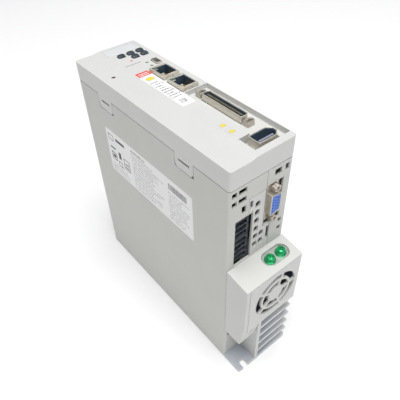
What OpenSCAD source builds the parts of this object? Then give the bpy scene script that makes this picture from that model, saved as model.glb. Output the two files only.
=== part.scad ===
// Servo drive, lying on its mounting face with the front panel on top.
// Inside the modules x runs across the width from the label side, y runs from
// the connector end to the top end, and z rises from the mounting face.
// at_home() then puts the origin under the middle of the whole drive.

/* [Case] */
// Width of the case, label side to fin side
body_w = 50; // [50:0.5:52]
// Length of the case, connector end to top end
body_h = 165; // [165:1:170]
// Depth from the mounting face to the front panel
body_d = 191; // [191:0.5:193]
// Wall thickness of the plastic shells
wall = 1.6; // [1.4:0.1:1.7]
// Depth of the front cover
cover_d = 14.7; // [14.5:0.1:15]
// Rounding of the upright edges of the case
edge_r = 2; // [1.5:0.1:2.2]
// How far the connector strip stands above the plain strip
panel_step = 0.9; // [0.5:0.1:1.2]

/* [Heat sink] */
// Thickness of the back plate
plate_t = 3; // [2.5:0.1:3]
// Reach of the foot below the connector end
foot_out = 17.6; // [17:0.1:18]
// Reach of the ear beyond the top end
ear_out = 10; // [10:0.5:12]
// Spacing of the fins
fin_pitch = 10.9; // [10.8:0.1:10.9]
// Number of fins, the first ones running out under the fan
fin_count = 9; // [9:1:9]
// Radius of the mounting hole and the mounting slot
mount_r = 2.6; // [2.2:0.1:2.8]

/* [Fan] */
// Reach of the fan housing below the connector end
fan_out = 18.9; // [18.9:0.1:19.2]
// Outside size of the square fan frame
fan_size = 40; // [40:1:40]
// Thickness of the fan frame
fan_t = 20; // [15:1:20]
// Blades on the rotor
blade_count = 7; // [5:1:9]

/* [Buttons] */
// Size of a button across the width
button_w = 5.4; // [4.8:0.1:5.6]
// Size of a button along the case
button_h = 4.2; // [3.8:0.1:4.4]
// How far a button stands above the panel
button_out = 1.2; // [0.9:0.1:1.5]
// Travel of a button
button_travel = 0.5; // [0.3:0.1:0.6]

/* [Connectors] */
// Distance between the two network sockets
jack_pitch = 20.1; // [19.5:0.1:21]
// Distance between the encoder socket's screw posts
post_pitch = 25; // [25:0.1:25]
// Distance between the two earth screws
earth_pitch = 9.8; // [9.4:0.1:10.2]

/* [Hidden] */
$fn = 48;
eps = 0.01;

// Main levels and ends
y_top = body_h + ear_out;
y_mid = (y_top - fan_out) / 2;
seam_z = body_d - cover_d;
inner_x = body_w - wall;
inner_y = body_h - wall;
gap = 0.3;

// Heat sink
web_x = 16;
web_t = 3;
sink_top = 105;
fin_root = 3.2;
fin_tip = 2.0;
fan_floor_z = 57;
fan_rear_y = 5;
slot_x = 7;
slot_end_y = -14.1;
ear_x = 33;
hole_x = 43;
hole_y = body_h + 4.6;

// Front panel
strip_x = 15;
ramp_x = 19;
face_t = 1.8;
well_lo = [31, 5];
well_hi = [body_w - 0.7, 77];
well_z = body_d - 3.6;
pocket_lo = [22.4, 5];
pocket_hi = [45.2, 18];
pocket_z = body_d - 6;
window_lo = [20.6, 152];
window_hi = [body_w - 1.6, body_h - 1.8];
window_t = 1.2;
lip = 1.2;
seam_gap = 0.45;
slit = 0.35;
tab_y = [31, 119.5];
tab_len = 17.5;
tab_z = 166;

// Places on the front panel, all [x, y]
button_at = [[27.7, 146.5], [35.5, 146.5], [43.2, 146.5], [35.5, 140.1], [43.2, 140.1]];
status_at = [[36.7, 127.3], [36.7, 121.2]];
charge_at = [8.2, 125.5];
usb_at = [42.7, 124.2];
usb_size = [4.4, 8.2];
jack_at = [30.3, 98.3];
jack_size = [13.2, 16.6];
jack_top = body_d + 2.2;
jack_depth = 20;
io_lo = [37.2, 31.6];
io_hi = [43.4, 67.8];
aux_lo = [27, 6.6];
aux_hi = [43.6, 15.8];
plug_top = body_d + 1;
shell_t = 0.4;
io_count = 25;
io_pitch = 1.27;
aux_count = 9;
aux_pitch = 1.25;

// Connector end, places as [x, z]
encoder_at = [36.4, 147.8];
encoder_size = [8.2, 16.4];
encoder_out = 2.4;
post_r = 2.7;
pit_lo = [29.5, 131.5];
pit_hi = [43.5, 164];
motor_lo = [5.5, 131];
motor_hi = [19.5, 150];
brake_lo = [5.5, 110];
brake_hi = [19.5, 130.2];
header_y = 2.7;
header_d = 14;
blade_pitch = 4.75;
input_lo = [12, 118];
input_hi = [26, 160];

// Fan
fan_x = 28;
fan_z = 81.5;
fan_y = -16.4;
fan_bore_r = 18.9;
hub_r = 9.5;
rotor_r = 18.2;
rotor_y = fan_y + 2;
rotor_len = 14;
grille_t = 2;
cover_x = 3.4;
cover_top = 104.6;

// Earth terminal
earth_x = 34.5;
earth_y = -9;
earth_plate_t = 1.2;
earth_z = 105;
head_r = 4;
screw_rise = 4.2;

// Boards
board_t = 1.6;
control_x = 28.6;
power_x = 7;
keypad_z = body_d - 9.5;
power_screw_y = [38, 140];
power_screw_z = [14, 96];
control_screw_y = [24, 108];
control_screw_z = [117, 165];
case_screw_x = 4.4;
case_screw_y = [14, 60, 105, 151];

// Labels
label_t = 0.15;
rating_lo = [33, 109.5];
rating_hi = [136.5, 149.5];

// ---------------------------------------------------------------- helpers

module at_home() {
    translate([-body_w / 2, -y_mid, 0]) children();
}

module block(lo, hi) {
    translate(lo) cube(hi - lo);
}

// Rectangle from lo to hi with true round corners
module round_rect(lo, hi, r) {
    translate([lo[0] + r, lo[1]]) square([hi[0] - lo[0] - 2 * r, hi[1] - lo[1]]);
    translate([lo[0], lo[1] + r]) square([hi[0] - lo[0], hi[1] - lo[1] - 2 * r]);
    for (x = [lo[0] + r, hi[0] - r], y = [lo[1] + r, hi[1] - r])
        translate([x, y]) circle(r = r);
}

// Carries an x-z outline from y0 to y1
module along_y(y0, y1) {
    translate([0, y1, 0]) rotate([90, 0, 0]) linear_extrude(y1 - y0) children();
}

// Carries a y-z outline from x0 to x1
module along_x(x0, x1) {
    translate([x0, 0, 0]) rotate([90, 0, 90]) linear_extrude(x1 - x0) children();
}

// Carries an x-y outline from z0 to z1
module along_z(z0, z1) {
    translate([0, 0, z0]) linear_extrude(z1 - z0) children();
}

module rod_x(p, r, len, sides = 48) {
    translate(p) rotate([0, 90, 0]) cylinder(r = r, h = len, $fn = sides);
}

module rod_y(p, r, len, sides = 48) {
    translate(p) rotate([-90, 0, 0]) cylinder(r = r, h = len, $fn = sides);
}

module rod_z(p, r, len, sides = 48) {
    translate(p) cylinder(r = r, h = len, $fn = sides);
}

// Outline of a plug shell: square at one end, cut corners at the far end
module plug_outline(lo, hi, cut, inset = 0) {
    a = lo + [inset, inset];
    b = hi - [inset, inset];
    c = cut - inset * 0.4;
    polygon([a, [b[0] - c, a[1]], [b[0], a[1] + c], [b[0], b[1] - c], [b[0] - c, b[1]], [a[0], b[1]]]);
}

// Trapezoid of a D-shaped shell, its long side towards -x
module dee_outline(centre, size, inset = 0) {
    w = size[0] / 2 - inset;
    h = size[1] / 2 - inset;
    slant = 1.3;
    translate(centre) polygon([[-w, -h], [w, -h + slant], [w, h - slant], [-w, h]]);
}

// ---------------------------------------------------------------- heat sink

module back_plate_outline() {
    difference() {
        union() {
            round_rect([0, -foot_out], [body_w, body_h], 1.5);
            round_rect([ear_x, body_h - 12], [body_w, y_top], 3);
        }
        translate([slot_x, slot_end_y]) circle(r = mount_r);
        translate([slot_x - mount_r, -foot_out - 1]) square([2 * mount_r, foot_out + slot_end_y + 1]);
        translate([hole_x, hole_y]) circle(r = mount_r);
    }
}

module fin(top_z, y0, y1) {
    root = web_x + web_t - eps;
    mid_z = top_z - fin_root / 2;
    along_y(y0, y1) polygon([
        [root, mid_z - fin_root / 2], [body_w, mid_z - fin_tip / 2],
        [body_w, mid_z + fin_tip / 2], [root, mid_z + fin_root / 2]
    ]);
}

module heatsink() {
    end_y = body_h - 1;
    color("silver") at_home() difference() {
        union() {
            along_z(0, plate_t) back_plate_outline();
            block([web_x, -foot_out, plate_t - eps], [web_x + web_t, fan_rear_y + 2, fan_floor_z - gap]);
            block([web_x, fan_rear_y, plate_t - eps], [web_x + web_t, end_y, sink_top]);
            block([web_x, fan_rear_y, sink_top - 3], [body_w, end_y, sink_top]);
            for (n = [1:fin_count])
                fin(plate_t + n * fin_pitch, n < 5 ? -foot_out : fan_rear_y, end_y);
        }
        for (y = power_screw_y, z = power_screw_z)
            rod_x([web_x - 1, y, z], 1.25, web_t + 2);
        for (y = case_screw_y) {
            rod_z([case_screw_x, y, -1], 1.4, plate_t + 2);
            rod_z([case_screw_x, y, -1], 2.6, 2.6);
        }
    }
}

// ---------------------------------------------------------------- shells

// Square and wide cooling slots in the connector end, [x0, z0, x1, z1]
end_vents = [
    [2, 170, 5.8, 173.8], [2, 163.2, 5.8, 167], [7.2, 170, 13.3, 173.8], [7.2, 163.2, 13.3, 167],
    [10, 154, 13.4, 159.8], [35.2, 168.5, 40.8, 173.2], [43.8, 168.3, 46.9, 173.2],
    [43.3, 124.9, 46.3, 128.7], [43.3, 117.6, 46.3, 121.4]
];

// Outline of the vented panel let into the connector end
module vent_panel_outline(grow = 0) {
    polygon([
        [19.8 - grow, 110.2 - grow], [35.2 + grow, 110.2 - grow], [35.2 + grow, 130.8 + grow],
        [29.1 + grow, 130.8 + grow], [29.1 + grow, 162.4 + grow], [16.2 - grow, 162.4 + grow],
        [16.2 - grow, 150.9 - grow], [19.8 - grow, 150.9 - grow]
    ]);
}

module housing() {
    color("gainsboro") at_home() difference() {
        union() {
            difference() {
                along_z(plate_t, seam_z) round_rect([0, 0], [body_w, body_h], edge_r);
                block([wall, wall, plate_t - 1], [inner_x, inner_y, seam_z + 1]);
                block([web_x - 0.2, -1, plate_t - 1], [body_w + 1, body_h + 1, sink_top + 0.2]);
            }
            // Bosses for the case screws
            for (y = case_screw_y)
                block([wall - eps, y - 3, plate_t], [power_x - 0.4, y + 3, 11]);
        }
        // Cut-outs in the connector end
        along_y(-1, wall + 1) {
            translate(motor_lo) square(motor_hi - motor_lo);
            translate(brake_lo) square([motor_hi[0] - brake_lo[0], motor_lo[1] - brake_lo[1] + eps]);
            translate(pit_lo) square(pit_hi - pit_lo);
            vent_panel_outline(slit);
            translate([7.4, fan_z - 20.6]) square([9, 41.2]);
            polygon([[3, 28], [7, 28], [3, 38]]);
            polygon([[9, 28], [13, 28], [9, 38]]);
            for (v = end_vents)
                translate([v[0], v[1]]) square([v[2] - v[0], v[3] - v[1]]);
        }
        // Cut-outs in the top end
        along_y(inner_y - 1, body_h + 1) {
            translate(input_lo) square(input_hi - input_lo);
            for (x = [30:5:42], z = [116:8:164])
                round_rect([x, z], [x + 3, z + 5], 1.4);
            for (x = [3:5:8], z = [20:12:92])
                round_rect([x, z], [x + 3, z + 8], 1.4);
        }
        // Notches for the front cover's tabs, on both long sides
        for (y = tab_y, x = [-1, inner_x - 1])
            block([x, y - slit, tab_z - slit], [x + wall + 2, y + tab_len + slit, seam_z + 1]);
        // Shadow gap under the front cover
        along_z(seam_z - seam_gap, seam_z + 1) difference() {
            translate([-1, -1]) square([body_w + 2, body_h + 2]);
            round_rect([wall / 2, wall / 2], [body_w - wall / 2, body_h - wall / 2], edge_r - wall / 2);
        }
        // Groove above the corner of the vented panel
        block([29.1, -1, 162], [29.1 + slit, 0.5, seam_z + 1]);
        // Louvres in the right side wall
        for (y = [20:9:140])
            block([inner_x - 1, y, 125], [body_w + 1, y + 3, 150]);
        for (y = case_screw_y)
            rod_z([case_screw_x, y, plate_t - 1], 1.25, 8);
        // Way through for the earth plate, and the seat of the rating label
        block([earth_x - 8.2, -1, sink_top], [earth_x + 8.2, wall + 1, earth_z + earth_plate_t + 0.2]);
        along_x(-1, label_t) round_rect(rating_lo - [0.2, 0.2], rating_hi + [0.2, 0.2], 2);
    }
}

module tab_outline() {
    difference() {
        union() {
            translate([0, tab_z - seam_z + 2]) square([tab_len, seam_z - tab_z - 2 + eps]);
            polygon([[0, tab_z - seam_z + 2.01], [2, tab_z - seam_z], [tab_len - 2, tab_z - seam_z],
                [tab_len, tab_z - seam_z + 2.01]]);
        }
        translate([3.5, -4.8]) square([10.5, 1.6]);
    }
}

module front_cover() {
    z1 = body_d - face_t;
    color("whitesmoke") at_home() difference() {
        union() {
            difference() {
                along_z(seam_z, body_d) round_rect([0, 0], [body_w, body_h], edge_r);
                // Hollow inside, leaving walls round the well and the pocket
                difference() {
                    block([wall, wall, seam_z - 1], [inner_x, inner_y, z1 - panel_step]);
                    block([well_lo[0] - wall, 0, well_z - face_t], [body_w, well_hi[1] + wall, body_d]);
                    block([pocket_lo[0] - wall, 0, pocket_z - face_t],
                        [body_w, pocket_hi[1] + wall, body_d]);
                }
                // Plain strip, lower than the connector strip, with a ramp between
                along_y(-1, body_h + 1) polygon([
                    [-1, body_d - panel_step], [strip_x, body_d - panel_step],
                    [ramp_x, body_d], [ramp_x, body_d + 1], [-1, body_d + 1]
                ]);
            }
            for (y = tab_y, x = [0, inner_x])
                along_x(x, x + wall) translate([y, seam_z]) tab_outline();
        }
        // Well for the cable connectors and the deeper pocket at its end
        block([well_lo[0], well_lo[1], well_z], [well_hi[0], well_hi[1], body_d + 1]);
        block([pocket_lo[0], pocket_lo[1], pocket_z], [pocket_hi[0], pocket_hi[1], body_d + 1]);
        // Plug openings
        along_z(seam_z, body_d + 1) {
            for (n = [0, 1])
                translate(jack_at - [gap, gap + n * jack_pitch]) square(jack_size + [2 * gap, 2 * gap]);
            translate(usb_at - usb_size / 2 - [gap, gap]) square(usb_size + [2 * gap, 2 * gap]);
            translate(io_lo - [gap, gap]) square(io_hi - io_lo + [2 * gap, 2 * gap]);
            translate(aux_lo - [gap, gap]) square(aux_hi - aux_lo + [2 * gap, 2 * gap]);
        }
        // Lamps and buttons
        for (p = status_at)
            rod_z([p[0], p[1], seam_z], 1.1, cover_d + 1);
        rod_z([charge_at[0], charge_at[1], seam_z], 1.4, cover_d + 1);
        for (p = button_at)
            along_z(seam_z, body_d + 1)
                round_rect(p - [button_w, button_h] / 2 - [gap, gap],
                    p + [button_w, button_h] / 2 + [gap, gap], 1.2);
        // Seat and opening of the display window
        block([window_lo[0], window_lo[1], body_d - window_t], [window_hi[0], window_hi[1], body_d + 1]);
        block([window_lo[0] + lip, window_lo[1] + lip, seam_z],
            [window_hi[0] - lip, window_hi[1] - lip, body_d]);
    }
}

module vent_panel() {
    color("gainsboro") at_home() along_y(0.2, 1.8) difference() {
        vent_panel_outline();
        for (z = [118.7:7.05:154])
            round_rect([21.3, z - 2.5], [25.3, z + 2.5], 1.7);
        for (z = [118.7, 125.75])
            round_rect([26.3, z - 2.5], [30.3, z + 2.5], 1.7);
        translate([16.9, 154]) square([2.3, 5.8]);
        translate([33, 117]) square([3, 11.4]);
    }
}

// ---------------------------------------------------------------- display

module display_window() {
    clear = 0.1;
    color("lightgray") at_home()
        block([window_lo[0] + clear, window_lo[1] + clear, body_d - window_t],
            [window_hi[0] - clear, window_hi[1] - clear, body_d - 0.05]);
}

module display_module() {
    x0 = window_lo[0] + lip + 0.6;
    x1 = window_hi[0] - lip - 0.6;
    digit_w = (x1 - x0) / 5;
    z_top = body_d - window_t - 0.6;
    color("dimgray") at_home() difference() {
        block([x0, 153.6, keypad_z + board_t], [x1, 161.6, z_top]);
        // Five digits, each a ring of thin segment slots
        for (n = [0:4])
            translate([x0 + (n + 0.5) * digit_w, 157.8, z_top - 0.4])
                for (dy = [-3, 0, 3])
                    translate([-1.2, dy - 0.3, 0]) cube([2.4, 0.6, 1]);
    }
}

module button(n) {
    p = button_at[n];
    half = [button_w, button_h] / 2;
    under_z = body_d - face_t - panel_step - 0.1;
    color("darkslategray") at_home() {
        // Cap, with a low step that softens its rim
        along_z(under_z - 1, body_d + button_out - 0.4)
            round_rect(p - half, p + half, 1);
        along_z(body_d + button_out - 0.41, body_d + button_out)
            round_rect(p - half + [0.4, 0.4], p + half - [0.4, 0.4], 0.8);
        // Flange that keeps it behind the panel
        along_z(under_z - 1, under_z)
            round_rect(p - half - [0.6, 0.5], p + half + [0.6, 0.5], 1);
        // Stem onto the switch
        rod_z([p[0], p[1], keypad_z + board_t + 2.7 + button_travel], 1.2, 3);
    }
}

module mode_button() { button(0); }
module shift_button() { button(1); }
module up_button() { button(2); }
module down_button() { button(3); }
module set_button() { button(4); }

module keypad_board() {
    color("darkgreen") at_home() difference() {
        block([19.6, 118.6, keypad_z], [inner_x - 0.4, inner_y - 0.4, keypad_z + board_t]);
        for (x = [21.5, 46.4], y = [135, 161.5])
            rod_z([x, y, keypad_z - 1], 1, board_t + 2);
    }
}

module tact_switches() {
    z0 = keypad_z + board_t;
    color("black") at_home()
        for (p = button_at) {
            block([p[0] - 2.3, p[1] - 2.3, z0], [p[0] + 2.3, p[1] + 2.3, z0 + 1.6]);
            rod_z([p[0], p[1], z0 + 1.59], 1, 0.9);
        }
}

module charge_lamp() {
    color("firebrick") at_home() {
        rod_z([charge_at[0], charge_at[1], seam_z + 2], 1.2, cover_d - 2 - panel_step);
        rod_z([charge_at[0], charge_at[1], seam_z + 1], 2, 2);
    }
}

module status_lamps() {
    color("darkolivegreen") at_home()
        for (p = status_at)
            rod_z([p[0], p[1], keypad_z + board_t], 0.9, body_d - 0.2 - keypad_z - board_t);
}

// ---------------------------------------------------------------- front sockets

module usb_shell() {
    half = usb_size / 2;
    z0 = keypad_z + board_t;
    color("tan") at_home() difference() {
        along_z(z0, body_d + 1) round_rect(usb_at - half, usb_at + half, 0.8);
        along_z(z0 + 1, body_d + 2)
            round_rect(usb_at - half + [shell_t, shell_t], usb_at + half - [shell_t, shell_t], 0.5);
    }
}

module usb_tongue() {
    z0 = keypad_z + board_t + 1;
    color("black") at_home() {
        along_z(z0, z0 + 2) round_rect(usb_at - [1.75, 3.55], usb_at + [1.75, 3.55], 0.6);
        block([usb_at[0] - 0.4, usb_at[1] - 2.8, z0 + 1.9], [usb_at[0] + 0.4, usb_at[1] + 2.8, body_d]);
    }
}

// One network socket's mouth, with the latch notch towards the label side
module jack_mouth(grow = 0) {
    mid_y = jack_size[1] / 2;
    translate([4.1 - grow, mid_y - 6.1 - grow]) square([8 + 2 * grow, 12.2 + 2 * grow]);
    translate([1.6 - grow, mid_y - 3.1 - grow]) square([3 + 2 * grow, 6.2 + 2 * grow]);
}

module jack_shields() {
    color("wheat") at_home()
        for (n = [0, 1])
            translate([jack_at[0], jack_at[1] - n * jack_pitch, 0]) difference() {
                block([0, 0, jack_top - jack_depth], [jack_size[0], jack_size[1], jack_top]);
                block([shell_t, shell_t, jack_top - jack_depth - 1],
                    [jack_size[0] - shell_t, jack_size[1] - shell_t, jack_top - shell_t]);
                along_z(jack_top - 1, jack_top + 1) {
                    jack_mouth(0.3);
                    // Windows for the two link lamps
                    translate([1, 1]) square([2.6, 3.2]);
                    translate([1, jack_size[1] - 4.2]) square([2.6, 3.2]);
                }
            }
}

module jack_inserts() {
    inset = shell_t + 0.05;
    color("black") at_home()
        for (n = [0, 1])
            translate([jack_at[0], jack_at[1] - n * jack_pitch, 0]) difference() {
                block([inset, inset, jack_top - jack_depth + 0.5],
                    [jack_size[0] - inset, jack_size[1] - inset, jack_top - inset]);
                along_z(jack_top - 14, jack_top + 1) jack_mouth();
                along_z(jack_top - 5, jack_top + 1) {
                    translate([0.9, 0.9]) square([2.6, 3.4]);
                    translate([0.9, jack_size[1] - 4.3]) square([2.6, 3.4]);
                }
            }
}

// Two link lamps in the corners of each network socket
module jack_lamps() {
    color("limegreen") at_home()
        for (n = [0, 1], y = [1.1, jack_size[1] - 4.1])
            translate([jack_at[0] + 1.1, jack_at[1] - n * jack_pitch + y, jack_top - 4.8])
                cube([2.2, 3, 4.4]);
}

// Eight sprung contacts in each network socket, against the fin-side wall
module jack_contacts() {
    color("gold") at_home()
        for (n = [0, 1], k = [0:7])
            translate([jack_at[0], jack_at[1] - n * jack_pitch + jack_size[1] / 2 + (k - 3.5) * 1.02, 0])
                jack_contact();
}

// A contact is a folded strip that slants across the mouth
module jack_contact() {
    z1 = jack_top - 3;
    translate([0, -0.2, 0]) rotate([90, 0, 0]) mirror([0, 0, 1]) linear_extrude(0.4) polygon([
        [12.05, z1 - 10.9], [12.05, z1], [11.65, z1], [9.4, z1 - 8],
        [9.7, z1 - 8.2], [11.6, z1 - 2], [11.6, z1 - 10.9]
    ]);
}

module io_shell() {
    z0 = well_z - face_t - 4;
    color("wheat") at_home() difference() {
        along_z(z0, plug_top) plug_outline(io_lo, io_hi, 1.2);
        along_z(z0 - 1, plug_top + 1) plug_outline(io_lo, io_hi, 1.2, shell_t);
    }
}

module io_insert() {
    inset = shell_t + 0.05;
    mid_x = (io_lo[0] + io_hi[0]) / 2;
    z0 = well_z - face_t - 12;
    color("black") at_home() {
        block([control_x + board_t, io_lo[1] - 5, z0], [io_hi[0] + 1, io_hi[1] + 5, z0 + 7.9]);
        along_z(z0 + 7.8, well_z - 2) plug_outline(io_lo, io_hi, 1.2, inset);
        block([mid_x - 0.6, io_lo[1] + 2, well_z - 2.1], [mid_x + 0.6, io_hi[1] - 2, plug_top - 0.8]);
    }
}

// Two rows of contact strips on the tongue of the signal connector
module io_contacts() {
    mid_x = (io_lo[0] + io_hi[0]) / 2;
    mid_y = (io_lo[1] + io_hi[1]) / 2;
    color("gold") at_home()
        for (k = [0:io_count - 1], side = [-1, 1])
            translate([mid_x + side * 0.75, mid_y + (k - (io_count - 1) / 2) * io_pitch, well_z - 2])
                translate([-0.15, -0.3, 0]) cube([0.3, 0.6, plug_top - well_z + 1]);
}

// Latch posts at the two ends of the signal connector
module io_latches() {
    mid_x = (io_lo[0] + io_hi[0]) / 2;
    color("lightgray") at_home()
        for (y = [io_lo[1] - 3.6, io_hi[1] + 3.6])
            difference() {
                union() {
                    block([mid_x - 3.2, y - 2.4, well_z], [mid_x + 1, y + 2.4, well_z + 3]);
                    rod_z([mid_x + 1, y, well_z], 2.4, 3);
                }
                rod_z([mid_x + 1, y, well_z + 0.6], 1.2, 4);
                block([mid_x - 2.2, y - 0.6, well_z + 2], [mid_x + 0.6, y + 0.6, well_z + 4]);
            }
}

module aux_shell() {
    z0 = pocket_z - face_t - 3;
    color("wheat") at_home() difference() {
        along_z(z0, plug_top) plug_outline(aux_lo, aux_hi, 3);
        along_z(z0 - 1, plug_top + 1) plug_outline(aux_lo, aux_hi, 3, shell_t);
    }
}

module aux_insert() {
    inset = shell_t + 0.05;
    z0 = pocket_z - face_t - 10;
    color("black") at_home() {
        block([aux_lo[0] + 0.4, aux_lo[1] - 1, z0], [aux_hi[0] + 1, aux_hi[1] + 1, z0 + 6.9]);
        along_z(z0 + 6.8, pocket_z - 1) plug_outline(aux_lo, aux_hi, 3, inset);
        block([aux_lo[0] + 2, aux_lo[1] + 1.9, pocket_z - 1.1],
            [aux_hi[0] - 3.2, aux_lo[1] + 3.1, plug_top - 1]);
    }
}

module aux_contacts() {
    first_x = (aux_lo[0] + aux_hi[0]) / 2 - 0.8 - (aux_count - 1) / 2 * aux_pitch;
    color("gold") at_home()
        for (k = [0:aux_count - 1], side = [0, 1])
            translate([first_x + k * aux_pitch - 0.3, aux_lo[1] + 1.6 + side * 1.5, pocket_z - 1])
                cube([0.6, 0.3, plug_top - pocket_z - 0.4]);
}

// ---------------------------------------------------------------- connector end

module encoder_shell() {
    half = [6.2, 15.4];
    color("wheat") at_home() {
        difference() {
            union() {
                along_y(2.4, 3.2) translate(encoder_at - half) square(2 * half);
                along_y(-encoder_out, 2.5) dee_outline(encoder_at, encoder_size);
            }
            along_y(-encoder_out - 1, 4) dee_outline(encoder_at, encoder_size, shell_t);
            for (s = [-1, 1])
                rod_y([encoder_at[0], 1, encoder_at[1] + s * post_pitch / 2], 1.6, 4);
        }
    }
}

// Blue insert with three rows of five round sockets
module encoder_insert() {
    color("royalblue") at_home() difference() {
        union() {
            along_y(-encoder_out + 0.4, 4) dee_outline(encoder_at, encoder_size, shell_t + 0.05);
            block([control_x + board_t, 3.3, encoder_at[1] - 14],
                [encoder_at[0] + 6, 12, encoder_at[1] + 14]);
        }
        for (row = [-1:1], k = [-2:2])
            rod_y([encoder_at[0] + row * 1.98, -encoder_out - 1,
                encoder_at[1] + (k + (row == 0 ? 0.25 : -0.25)) * 2.29], 0.5, 7, 16);
        for (s = [-1, 1])
            rod_y([encoder_at[0], 3, encoder_at[1] + s * post_pitch / 2], 1.6, 12);
    }
}

module encoder_posts() {
    color("silver") at_home()
        for (s = [-1, 1])
            translate([encoder_at[0], 0, encoder_at[1] + s * post_pitch / 2])
                difference() {
                    union() {
                        rod_y([0, -2.7, 0], post_r, 5.1, 6);
                        rod_y([0, 2.3, 0], 1.5, 8);
                    }
                    rod_y([0, -4, 0], 1.42, 6.2);
                }
}

// A row of four plug pockets in a black block
module header_block(lo, hi, y0, y1, mouth_at_low_y) {
    mid_z = (lo[1] + hi[1]) / 2;
    depth = 9;
    ya = mouth_at_low_y ? y0 - 1 : y1 - depth;
    yb = mouth_at_low_y ? y0 + depth : y1 + 1;
    difference() {
        along_y(y0, y1) translate(lo + [0.1, 0.1]) square(hi - lo - [0.2, 0.2]);
        for (k = [-1.5:1.5])
            along_y(ya, yb) {
                translate([lo[0] + 3.2, mid_z + k * blade_pitch - 1.8])
                    square([hi[0] - lo[0] - 5.2, 3.6]);
                translate([lo[0] + 1.4, mid_z + k * blade_pitch - 0.9]) square([2, 1.8]);
            }
    }
}

module motor_header() {
    color("black") at_home() header_block(motor_lo, motor_hi, header_y, header_y + header_d, true);
}

module brake_header() {
    color("black") at_home() header_block(brake_lo, brake_hi, header_y, header_y + header_d, true);
}

module input_header() {
    half = (input_hi[1] - input_lo[1]) / 2;
    color("black") at_home()
        for (n = [0, 1])
            translate([0, 0, n * half])
                header_block(input_lo, [input_hi[0], input_lo[1] + half],
                    body_h - 2.7 - header_d, body_h - 2.7, false);
}

// Flat blades inside the plug pockets
module header_blades() {
    in_half = (input_hi[1] - input_lo[1]) / 2;
    color("silver") at_home() {
        for (h = [[motor_lo, motor_hi], [brake_lo, brake_hi]], k = [-1.5:1.5]) {
            z = (h[0][1] + h[1][1]) / 2 + k * blade_pitch;
            block([10.5, header_y + 2, z - 0.4], [14.5, header_y + 9, z + 0.4]);
        }
        for (n = [0, 1], k = [-1.5:1.5]) {
            z = input_lo[1] + (n + 0.5) * in_half + k * blade_pitch;
            block([17, body_h - 11.7, z - 0.4], [21, body_h - 4.7, z + 0.4]);
        }
    }
}

// ---------------------------------------------------------------- fan

// Side view of the fan housing, [y, z]; its top falls towards the foot
module fan_housing_outline(low_z) {
    polygon([[0, low_z], [-15 - (low_z - 40) * 0.17, low_z], [-fan_out, 62],
        [-fan_out, 106.5], [0, 109.5]]);
}

module stadium(half_len, r) {
    translate([-half_len, -r]) square([2 * half_len, 2 * r]);
    for (s = [-1, 1])
        translate([s * half_len, 0]) circle(r = r);
}

module fan_housing() {
    bore = fan_size + 0.8;
    color("lightgray") at_home() difference() {
        union() {
            along_x(0, body_w) fan_housing_outline(fan_floor_z);
            along_x(0, web_x - 0.2) fan_housing_outline(40);
        }
        // Fan room, right through
        block([fan_x - bore / 2, -fan_out - 1, fan_z - bore / 2], [fan_x + bore / 2, 1, fan_z + bore / 2]);
        // Seat of the grille cover
        block([cover_x - gap, -fan_out - 1, fan_floor_z - 1],
            [body_w + 1, -fan_out + grille_t, cover_top + gap]);
        // Hollow of the toe beside the web
        along_x(wall, web_x - 0.2 - wall)
            polygon([[1, 41.6], [-13, 41.6], [-15.6, 55.4], [1, 55.4]]);
        // Two small slots in the toe's sloping face
        for (z = [46, 51])
            block([8, -fan_out - 1, z], [11, -13, z + 1.6]);
        // Recess of the earth terminal and its screws
        along_z(earth_z + earth_plate_t, 112) translate([earth_x, earth_y]) stadium(5.4, 5.5);
        block([earth_x - 10.2, earth_y - 5.4, earth_z], [earth_x + 10.2, 1, earth_z + earth_plate_t]);
        for (s = [-1, 1])
            rod_z([earth_x + s * earth_pitch / 2, earth_y, 102.2], 2.05, 4);
    }
}

// Round grille of two rings and five spokes in a flat cover
module fan_cover() {
    y0 = -fan_out;
    color("lightgray") at_home() along_y(y0, y0 + grille_t - 0.1) difference() {
        translate([cover_x, fan_floor_z + 0.2]) square([body_w - cover_x, cover_top - fan_floor_z - 0.2]);
        translate([fan_x, fan_z]) difference() {
            circle(r = 18.5);
            circle(r = 7);
            difference() {
                circle(r = 14);
                circle(r = 12);
            }
            for (k = [0:4])
                rotate(2 + 72 * k) translate([0, -0.9]) square([20, 1.8]);
        }
    }
}

module fan_frame() {
    half = fan_size / 2;
    color("black") at_home() difference() {
        union() {
            difference() {
                along_y(fan_y, fan_y + fan_t)
                    round_rect([fan_x - half, fan_z - half], [fan_x + half, fan_z + half], 2.5);
                rod_y([fan_x, fan_y - 1, fan_z], fan_bore_r, fan_t + 2);
            }
            // Motor carrier and its four arms, on the drive's side
            rod_y([fan_x, fan_y + fan_t - 3, fan_z], hub_r, 3);
            for (a = [30:90:359])
                translate([fan_x, 0, fan_z]) rotate([0, a, 0])
                    block([hub_r - 1, fan_y + fan_t - 2.4, -1], [fan_bore_r + 0.4, fan_y + fan_t - 0.3, 1]);
            // Bearing post
            rod_y([fan_x, fan_y + 6, fan_z], 2.6, fan_t - 7);
        }
        rod_y([fan_x, fan_y + 5, fan_z], 1.05, 11);
        for (sx = [-1, 1], sz = [-1, 1])
            rod_y([fan_x + sx * 16, fan_y - 1, fan_z + sz * 16], 1.75, fan_t + 2);
    }
}

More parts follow.
